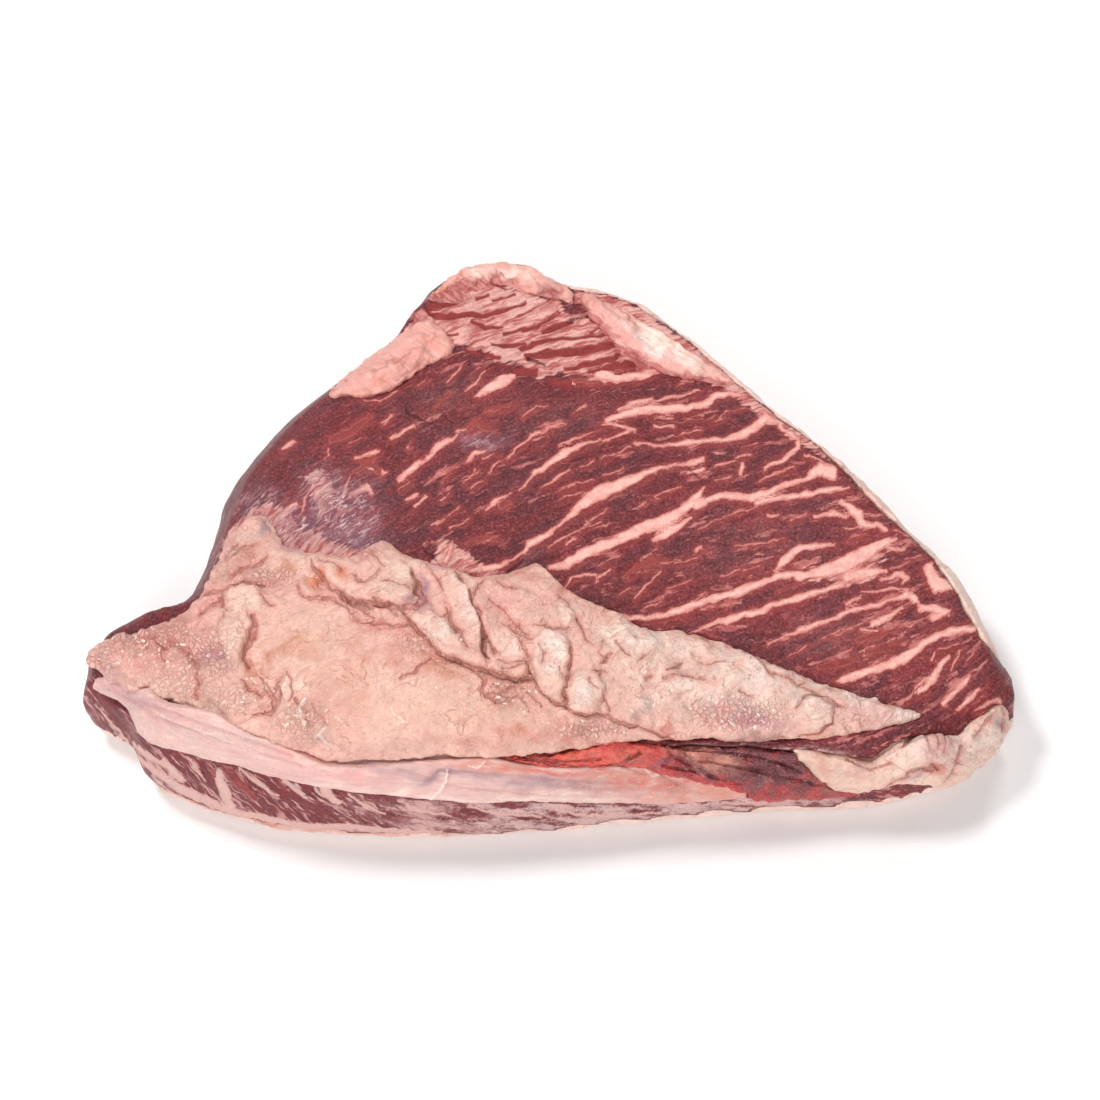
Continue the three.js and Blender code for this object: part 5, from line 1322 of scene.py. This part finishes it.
class PicanhaSizes(bpy.types.PropertyGroup):
    """How finely the pieces are made, and their small parts."""
    lean_face: FloatProperty(name="Lean face", default=1.70 * MM, min=0.8 * MM, unit="LENGTH",
                             description="Face size of the lean before the seen side is refined")
    fat_face: FloatProperty(name="Fat face", default=0.74 * MM, min=0.5 * MM, unit="LENGTH",
                            description="Face size of the seam fat")
    thin_face: FloatProperty(name="Thin fat face", default=0.55 * MM, min=0.3 * MM, unit="LENGTH",
                             description="Face size of the thin pieces")
    cap_face: FloatProperty(name="Cap face", default=1.15 * MM, min=0.8 * MM, unit="LENGTH",
                            description="Face size of the fat cap")
    relief: FloatProperty(name="Relief", default=1.0, min=0, max=2, subtype="FACTOR",
                          description="How strongly creases and lobes stand out")
    crumb: FloatProperty(name="Crumb", default=0.7 * MM, min=0.1 * MM, unit="LENGTH",
                         description="Size of the loose fat crumbs")
    seed: IntProperty(name="Seed", default=7, min=0, description="Seed of the scattered crumbs")


def look():
    return bpy.context.scene.picanha_look


def sizes():
    return bpy.context.scene.picanha_sizes


# ---- Pieces.

def build_lean():
    skin = Skin("lean", sizes().lean_face, 3)
    _, seen, normals = skin.seen()
    covered = inside_polygon(picture_spots(skin.points), COVERED_LEAN, 5) > 0
    skin.refine((seen > 0.15) & (skin.points[:, 2] > 0.004) & ~covered)
    skin.relax(2)
    spots, seen, normals = skin.seen()
    top = smooth_step(0.35, 0.75, normals[:, 2])
    spots = shaken(spots, skin.points, 0.75, 0.005, 61)
    side, distance, width, kind = nearest_lines(spots, (
        (BROAD_VEINS, 0), (THIN_VEINS, 0.0), (MEMBRANE_SHREDS, 0), (STRIP_VEINS, 0),
        (RED_VEINS, 1), (STRIP_REDS, 1), (APEX_STREAKS, -1)))
    hidden = seen < FOLD_BACK
    side[hidden], distance[hidden], width[hidden] = 14, 14, 0
    across, along = fit_flow()
    terms, _, _ = flow_terms(spots)
    pale = np.maximum(inside_polygon(spots, APEX_MEMBRANE, 12),
                      np.max([inside_polygon(spots, wedge, 12)
                              for wedge in (*PALE_WEDGES, RIM_FILM, *SLAB_FRINGE)], 0))
    pale = np.where(hidden, -12, pale)
    x, y = spots.T
    film = patch_share(spots, FILM_PATCHES)
    marbling = 0.3 * smooth_step(780, 960, x) + 0.6 * (1 - smooth_step(300, 380, y))
    marbling += 0.1 * smooth_step(560, 700, x) - 0.5 * (1 - smooth_step(300, 420, x))
    marbling = np.where(top > 0.5, marbling, 0.25)
    # On the front strip the grain slants down at the left and runs level at the right.
    strip = seen * (1 - top) * smooth_step(640, 700, y) * (1 - smooth_step(820, 880, x))
    slant = np.interp(x, np.arange(0, 1100, 20.0), strip_slant())
    traced = np.where(strip > 0.3, 1.0, top)
    over = np.where(strip > 0.3, (y - slant) * 1.05, terms @ across)
    run = np.where(strip > 0.3, x * 1.25, terms @ along)
    grain_walk = np.stack((over, run), 1) / 14
    ripples = swell(np.column_stack((grain_walk * (1, 0.12), np.zeros(len(x)))), 1.0, 3) * top
    ripples += swell(skin.points, 0.011, 5, (3, 1, 1)) * (1 - top)
    height = ripples * 0.22 + swell(skin.points, 0.03, 11) * 0.35
    height += 0.2 * smooth_step(-2, 1.5, width - distance) * np.where(kind > -0.5, 1, -2)
    height += relief(spots, seen, creases=[(0.7, w, *p) for w, *p in DRY_CRACKS],
                     lobes=((0.8, 5, *PALE_TUFT),))
    for stroke in MEMBRANE_SHREDS:
        near, gap, _, half = stroke_distance(spots, as_stroke(stroke), 8)
        height[near] += 0.7 * np.exp(-(gap / (half + 1.2)) ** 2) * seen[near]
    skin.push(height * sizes().relief, normals)
    skin.store("vein", np.stack((side, distance, width), 1))
    skin.store("grain", np.stack((over, run, traced), 1))
    skin.store("zone", np.stack((pale, marbling, kind), 1))
    skin.store("veil", np.stack((film * seen, strip, strip * smooth_step(300, 560, x)), 1))
    skin.store("crack", drawn_lines(spots, seen, [(1, w, *p) for w, *p in DRY_CRACKS]))
    skin.store("paint", dabbed(spots, seen, look().lean, LEAN_DABS))
    return skin.finish("Lean", lean_finish(look()), "lean_meat", "lean")


def build_fat(name, node, face, slot, finish, base, creases=(), dabs=(), threads=(), wet=(),
              rough=((0.006, 0.3), (0.0022, 0.12)), reshape=None, lumps=()):
    """A piece of fat: the CAD node's shape with the relief and colours read in the picture."""
    skin = Skin(node, face)
    if reshape:
        reshape(skin)
    spots, seen, normals = skin.seen()
    height = relief(spots, seen, creases, ridges=(*threads, *lumps))
    for number, (length, amount) in enumerate(rough):
        height += swell(skin.points, length, 21 + number) * amount
    skin.push(height * sizes().relief, normals)
    mark_surface(skin, spots, seen, base, dabs, creases, threads, wet)
    return skin.finish(name, finish, slot, node)


def mark_surface(skin, spots, seen, base, dabs=(), creases=(), threads=(), wet=(), scaly=()):
    """Stores what a fat's finish reads: its colour, creases, threads, wet and scaly places."""
    glints = patch_share(spots, wet) * seen
    scales = patch_share(spots, scaly) * seen
    skin.store("paint", dabbed(spots, seen, base, dabs))
    skin.store("crack", drawn_lines(spots, seen, creases, 0.1, 0.32))
    skin.store("thread", drawn_lines(spots, seen, threads, 1.0, 0.0))
    skin.store("wet", np.stack((glints, scales, scales), 1))


def tuck_sheath(skin):
    """Lifts the sheath's upper edge under the slab at the left end, where the slab hides it."""
    spots = picture_spots(skin.points)
    x, y = spots.T
    edge = np.interp(x, (90, 137, 166, 195, 214, 244, 294), (672, 686, 697, 709, 722, 732, 756))
    share = smooth_step(92, 122, x) * (1 - smooth_step(215, 262, x))
    share *= 1 - smooth_step(8, 44, y - edge)
    gap = np.exp(-((x - 168) / 26) ** 2) * (1 - smooth_step(8, 32, y - edge))
    skin.points[:, 2] += (share * 3.6 + gap * 2.6) * MM
    skin.points[:, 1] += share * 0.6 * MM


def build_trimmed(name, node, finish, outline, creases, dabs):
    """Thin fat left on the lean, worn away outside the outline read in the picture."""
    skin = Skin(node, sizes().thin_face, 6)
    spots, seen, normals = skin.seen()
    spots = shaken(spots, skin.points, 1.6, 0.005, 81)
    inside = inside_polygon(spots, outline, 16)
    skin.points[:, 2] -= SCRAPED * (1 - smooth_step(-9, 3, inside))
    height = relief(spots, seen, creases) - 0.4 * (1 - smooth_step(-6, 6, inside))
    height += swell(skin.points, 0.009, 82) * 0.45 + swell(skin.points, 0.0035, 83) * 0.25
    skin.push(height * sizes().relief, normals)
    skin.store("border", np.stack((inside, inside, inside), 1))
    mark_surface(skin, spots, seen, look().trimmed, dabs, creases)
    return skin.finish(name, finish, "trimmed_fat", node)


def build_seam_fat():
    finish = fat_finish("Seam fat", look().slab, look().slab_hollow_shade, look().film, scales=True)
    skin = Skin("seam_fat", sizes().fat_face, 3)
    spots, seen, normals = skin.seen()
    spots = shaken(spots, skin.points, 1.3, 0.006, 71)
    height = relief(spots, seen, SLAB_CREASES, SLAB_LIPS, SLAB_LOBES, SLAB_PITS, SLAB_THREADS)
    # The left end is fibrous and lumpy; the panel in the middle is smooth.
    x, y = spots.T
    lumpy = (1 - smooth_step(225, 275, x)) * seen
    panel = np.exp(-(((x - 400) / 120) ** 2 + ((y - 690 - (x - 400) * 0.1) / 40) ** 2) ** 2)
    calm = 1 - 0.75 * panel * seen
    height *= SLAB_RELIEF
    height += swell(skin.points, 0.0030, 31) * (0.16 + 0.22 * lumpy) * calm
    height += swell(skin.points, 0.007, 32) * (0.30 + 0.25 * lumpy) * calm
    height += swell(skin.points, 0.018, 33) * 0.45 * calm
    height += (0.6 - np.abs(swell(skin.points, 0.016, 34, (1.5, 1, 1)))) * 0.75 * calm * seen
    skin.push(height * sizes().relief, normals)
    mark_surface(skin, spots, seen, look().slab, SLAB_DABS, SLAB_CREASES, SLAB_THREADS, SLAB_WET,
                 SLAB_SCALY)
    return skin.finish("Seam_fat", finish, "seam_fat", "seam_fat")


def build_cap():
    finish = fat_finish("Fat cap", look().cap, tone(222, 166, 144), tone(232, 178, 162), 0.6, 0.45, 0.8)
    skin = Skin("fat_cap", sizes().cap_face, 4)
    spots, seen, normals = skin.seen()
    outer = smooth_step(0.0002, 0.006, skin.points[:, 2])
    height = swell(skin.points, 0.026, 41) * 0.4 + swell(skin.points, 0.009, 42) * 0.22
    height += swell(skin.points, 0.0038, 43) * 0.12
    skin.push(height * outer * sizes().relief, normals)
    mark_surface(skin, spots, seen, look().cap, CAP_DABS)
    return skin.finish("Fat_cap", finish, "cap_fat", "fat_cap")


def crumb_tree(finish):
    """A Geometry Nodes tree that lays small lumps on a surface's marked patches."""
    tree = bpy.data.node_groups.new("Fat crumbs", "GeometryNodeTree")
    inputs = (("Geometry", "NodeSocketGeometry"), ("Size", "NodeSocketFloat"),
              ("Density", "NodeSocketFloat"), ("Seed", "NodeSocketInt"))
    for name, kind in inputs:
        tree.interface.new_socket(name, in_out="INPUT", socket_type=kind)
    tree.interface.new_socket("Geometry", in_out="OUTPUT", socket_type="NodeSocketGeometry")
    crumbs = Tree(tree)
    add = crumbs.add
    start = add("NodeGroupInput").outputs
    marked = add("GeometryNodeInputNamedAttribute", {"data_type": "FLOAT"}, {"Name": "crumbs"})
    rate = add("ShaderNodeMath", {"operation": "MULTIPLY"}, [marked.outputs[0], start["Density"]])
    spread = add("GeometryNodeDistributePointsOnFaces", None, {
        "Mesh": start["Geometry"], "Density": rate.outputs[0], "Seed": start["Seed"]}).outputs
    lump = add("GeometryNodeMeshIcoSphere", None, {"Subdivisions": 2})
    size = add("FunctionNodeRandomValue", {"data_type": "FLOAT_VECTOR"}, CRUMB_SHAPES)
    grow = add("ShaderNodeVectorMath", {"operation": "SCALE"}, {
        0: size.outputs[0], "Scale": start["Size"]})
    laid = add("GeometryNodeInstanceOnPoints", None, {
        "Points": spread["Points"], "Rotation": spread["Rotation"],
        "Instance": lump.outputs["Mesh"], "Scale": grow.outputs[0]})
    spin = add("FunctionNodeRandomValue", {"data_type": "FLOAT_VECTOR"}, {1: (0.3, 0.3, 6.28)})
    turned = add("GeometryNodeRotateInstances", None, {
        "Instances": laid.outputs[0], "Rotation": spin.outputs[0]})
    real = add("GeometryNodeRealizeInstances", None, [turned.outputs[0]])
    painted = add("GeometryNodeSetMaterial", None, {
        "Geometry": real.outputs[0], "Material": finish})
    add("NodeGroupOutput", None, [painted.outputs[0]])
    return tree


def build_crumbs(seam_fat):
    """Small loose crumbs and beads of fat on the slab."""
    ground = seam_fat.data.copy()
    ground.materials.clear()
    holder = bpy.data.objects.new("crumb_ground", ground)
    bpy.context.collection.objects.link(holder)
    points, normals = vectors(ground.vertices, "co"), vectors(ground.vertex_normals, "vector")
    spots = picture_spots(points)
    share = patch_share(spots, CRUMB_PATCHES)
    share *= (normals @ CAMERA_BACK > 0.35) & (points[:, 2] < CAD_HIGH[2] - 0.0009)
    layer = ground.attributes.new("crumbs", "FLOAT", "POINT")
    layer.data.foreach_set("value", share.astype(np.float32))
    finish = Finish("Fat crumbs")
    body = finish.place()
    colour = finish.mix(finish.grains(body, 240.0).step(0.4, 0.6),
                        tone(246, 222, 206), tone(228, 172, 156))
    crumbs = finish.close(colour, 0.3, finish.grains(body, 1500.0), 0.4, 0.0006, 0.5, 0.2,
                          (0.002, 0.001, 0.0008))
    tree = crumb_tree(crumbs)
    scatter = holder.modifiers.new("Crumbs", "NODES")
    scatter.node_group = tree
    values = {"Size": sizes().crumb, "Density": CRUMBS_PER_AREA, "Seed": sizes().seed}
    for item in tree.interface.items_tree:
        if item.in_out == "INPUT" and item.name in values:
            scatter[item.identifier] = values[item.name]
    graph = bpy.context.evaluated_depsgraph_get()
    mesh = bpy.data.meshes.new_from_object(holder.evaluated_get(graph))
    bpy.data.objects.remove(holder)
    if not mesh.vertices:
        raise RuntimeError("no crumbs were laid on the seam fat")
    mesh.shade_smooth()
    return place("Fat_crumbs", mesh, "seam_fat")


# ---- Stage.

def build_stage():
    mesh = bpy.data.meshes.new("Floor")
    corners = [(x * FLOOR_REACH, y * FLOOR_REACH, 0) for x, y in ((-1, -1), (1, -1), (1, 1), (-1, 1))]
    mesh.from_pydata(corners, [], [(0, 1, 2, 3)])
    finish = Finish("Floor")
    body = finish.place()
    colour = finish.mix(finish.grains(body, 3.0) * 0.05, look().floor, tone(226, 225, 224))
    mesh.materials.append(finish.close(colour, 0.8, finish.grains(body, 60.0), 0.02, 0.001, 0.1, 0.0,
                                       (MM, MM, MM)))
    floor = bpy.data.objects.new("Floor", mesh)
    bpy.context.collection.objects.link(floor)
    floor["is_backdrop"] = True

    for name, power, size, position in LAMPS:
        light = bpy.data.lights.new(name, "AREA")
        light.shape = "DISK"
        light.size = size
        light.energy = power
        lamp = bpy.data.objects.new(name, light)
        bpy.context.collection.objects.link(lamp)
        lamp.location = position
        aim = Vector(LAMPS_AIM) - Vector(position)
        lamp.rotation_euler = aim.to_track_quat("-Z", "Y").to_euler()

    world = bpy.data.worlds.new("Studio")
    world.use_nodes = True
    sky = world.node_tree.nodes["Background"]
    sky.inputs["Color"].default_value = (1.0, 1.0, 1.0, 1.0)
    sky.inputs["Strength"].default_value = SKY
    scene = bpy.context.scene
    scene.world = world
    scene.view_settings.view_transform = "Standard"
    camera = bpy.data.cameras.new("Camera")
    camera.lens, camera.sensor_width = LENS, SENSOR
    holder = bpy.data.objects.new("Camera", camera)
    bpy.context.collection.objects.link(holder)
    holder.location = Vector(CAMERA_PLACE)
    turn = Matrix((CAMERA_RIGHT, CAMERA_UP, CAMERA_BACK)).transposed()
    holder.rotation_euler = turn.to_euler()
    scene.camera = holder


# ---- Operators.

class PICANHA_OT_lean(bpy.types.Operator):
    """Make the marbled lean"""
    bl_idname = "picanha.lean"
    bl_label = "Lean"

    def execute(self, context):
        build_lean()
        return {"FINISHED"}


class PICANHA_OT_fat_cap(bpy.types.Operator):
    """Make the fat cap under the lean and up its right and back rim"""
    bl_idname = "picanha.fat_cap"
    bl_label = "Fat cap"

    def execute(self, context):
        build_cap()
        return {"FINISHED"}


class PICANHA_OT_seam_fat(bpy.types.Operator):
    """Make the slab of seam fat with its flap, and the crumbs on it"""
    bl_idname = "picanha.seam_fat"
    bl_label = "Seam fat"

    def execute(self, context):
        build_crumbs(build_seam_fat())
        return {"FINISHED"}


class PICANHA_OT_sheath(bpy.types.Operator):
    """Make the silverskin sheath along the front"""
    bl_idname = "picanha.sheath"
    bl_label = "Sheath"

    def execute(self, context):
        build_fat("Sheath", "silverskin", sizes().thin_face, "sheath", sheath_finish(),
                  look().sheath, SHEATH_CREASES, SHEATH_DABS, SHEATH_THREADS, SHEATH_WET,
                  ((0.02, 0.25), (0.006, 0.08)), tuck_sheath)
        return {"FINISHED"}


class PICANHA_OT_seam_tissue(bpy.types.Operator):
    """Make the wet red tissue in the seam"""
    bl_idname = "picanha.seam_tissue"
    bl_label = "Seam tissue"

    def execute(self, context):
        build_fat("Seam_tissue", "seam_tissue", sizes().thin_face, "wet_tissue",
                  tissue_finish(look()), look().tissue, TISSUE_CREASES, TISSUE_DABS, TISSUE_THREADS,
                  TISSUE_WET, ((0.008, 0.4), (0.003, 0.25)))
        return {"FINISHED"}


class PICANHA_OT_end_fat(bpy.types.Operator):
    """Make the roll of fat round the thin tip"""
    bl_idname = "picanha.end_fat"
    bl_label = "End fat"

    def execute(self, context):
        build_fat("End_fat", "end_fat", sizes().thin_face, "end_fat",
                  fat_finish("End fat", look().end, tone(222, 160, 138), tone(236, 176, 158)),
                  look().end, END_CREASES, END_DABS, wet=END_WET, rough=((0.007, 0.35), (0.0024, 0.12)),
                  lumps=END_LUMPS)
        return {"FINISHED"}


class PICANHA_OT_trimmed_fat(bpy.types.Operator):
    """Make the thin fat left on the shoulder, the upper edge and the apex"""
    bl_idname = "picanha.trimmed_fat"
    bl_label = "Trimmed fat"

    def execute(self, context):
        finish = trimmed_finish()
        for name, node, outline, creases, dabs in TRIMMED:
            build_trimmed(name, node, finish, outline, creases, dabs)
        return {"FINISHED"}


class PICANHA_OT_stage(bpy.types.Operator):
    """Make the floor, the studio light and the camera"""
    bl_idname = "picanha.stage"
    bl_label = "Stage"

    def execute(self, context):
        build_stage()
        return {"FINISHED"}


STEPS = (PICANHA_OT_fat_cap, PICANHA_OT_lean, PICANHA_OT_seam_fat, PICANHA_OT_sheath,
         PICANHA_OT_seam_tissue, PICANHA_OT_end_fat, PICANHA_OT_trimmed_fat, PICANHA_OT_stage)


class PICANHA_PT_panel(bpy.types.Panel):
    """Lists the steps that make the picanha"""
    bl_idname = "PICANHA_PT_panel"
    bl_label = "Picanha"
    bl_space_type = "VIEW_3D"
    bl_region_type = "UI"
    bl_category = "Picanha"

    def draw(self, context):
        for group in (context.scene.picanha_look, context.scene.picanha_sizes):
            for name in group.bl_rna.properties.keys():
                if name not in ("rna_type", "name"):
                    self.layout.prop(group, name)
        for step in STEPS:
            self.layout.operator(step.bl_idname)


CLASSES = (PicanhaLook, PicanhaSizes, *STEPS, PICANHA_PT_panel)


def register():
    for item in CLASSES:
        bpy.utils.register_class(item)
    bpy.types.Scene.picanha_look = PointerProperty(type=PicanhaLook)
    bpy.types.Scene.picanha_sizes = PointerProperty(type=PicanhaSizes)


def unregister():
    del bpy.types.Scene.picanha_sizes
    del bpy.types.Scene.picanha_look
    for item in reversed(CLASSES):
        bpy.utils.unregister_class(item)


def main():
    register()
    bpy.ops.picanha.fat_cap()
    bpy.ops.picanha.lean()
    bpy.ops.picanha.seam_fat()
    bpy.ops.picanha.sheath()
    bpy.ops.picanha.seam_tissue()
    bpy.ops.picanha.end_fat()
    bpy.ops.picanha.trimmed_fat()
    bpy.ops.picanha.stage()
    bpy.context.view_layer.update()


if __name__ == "__main__":
    main()
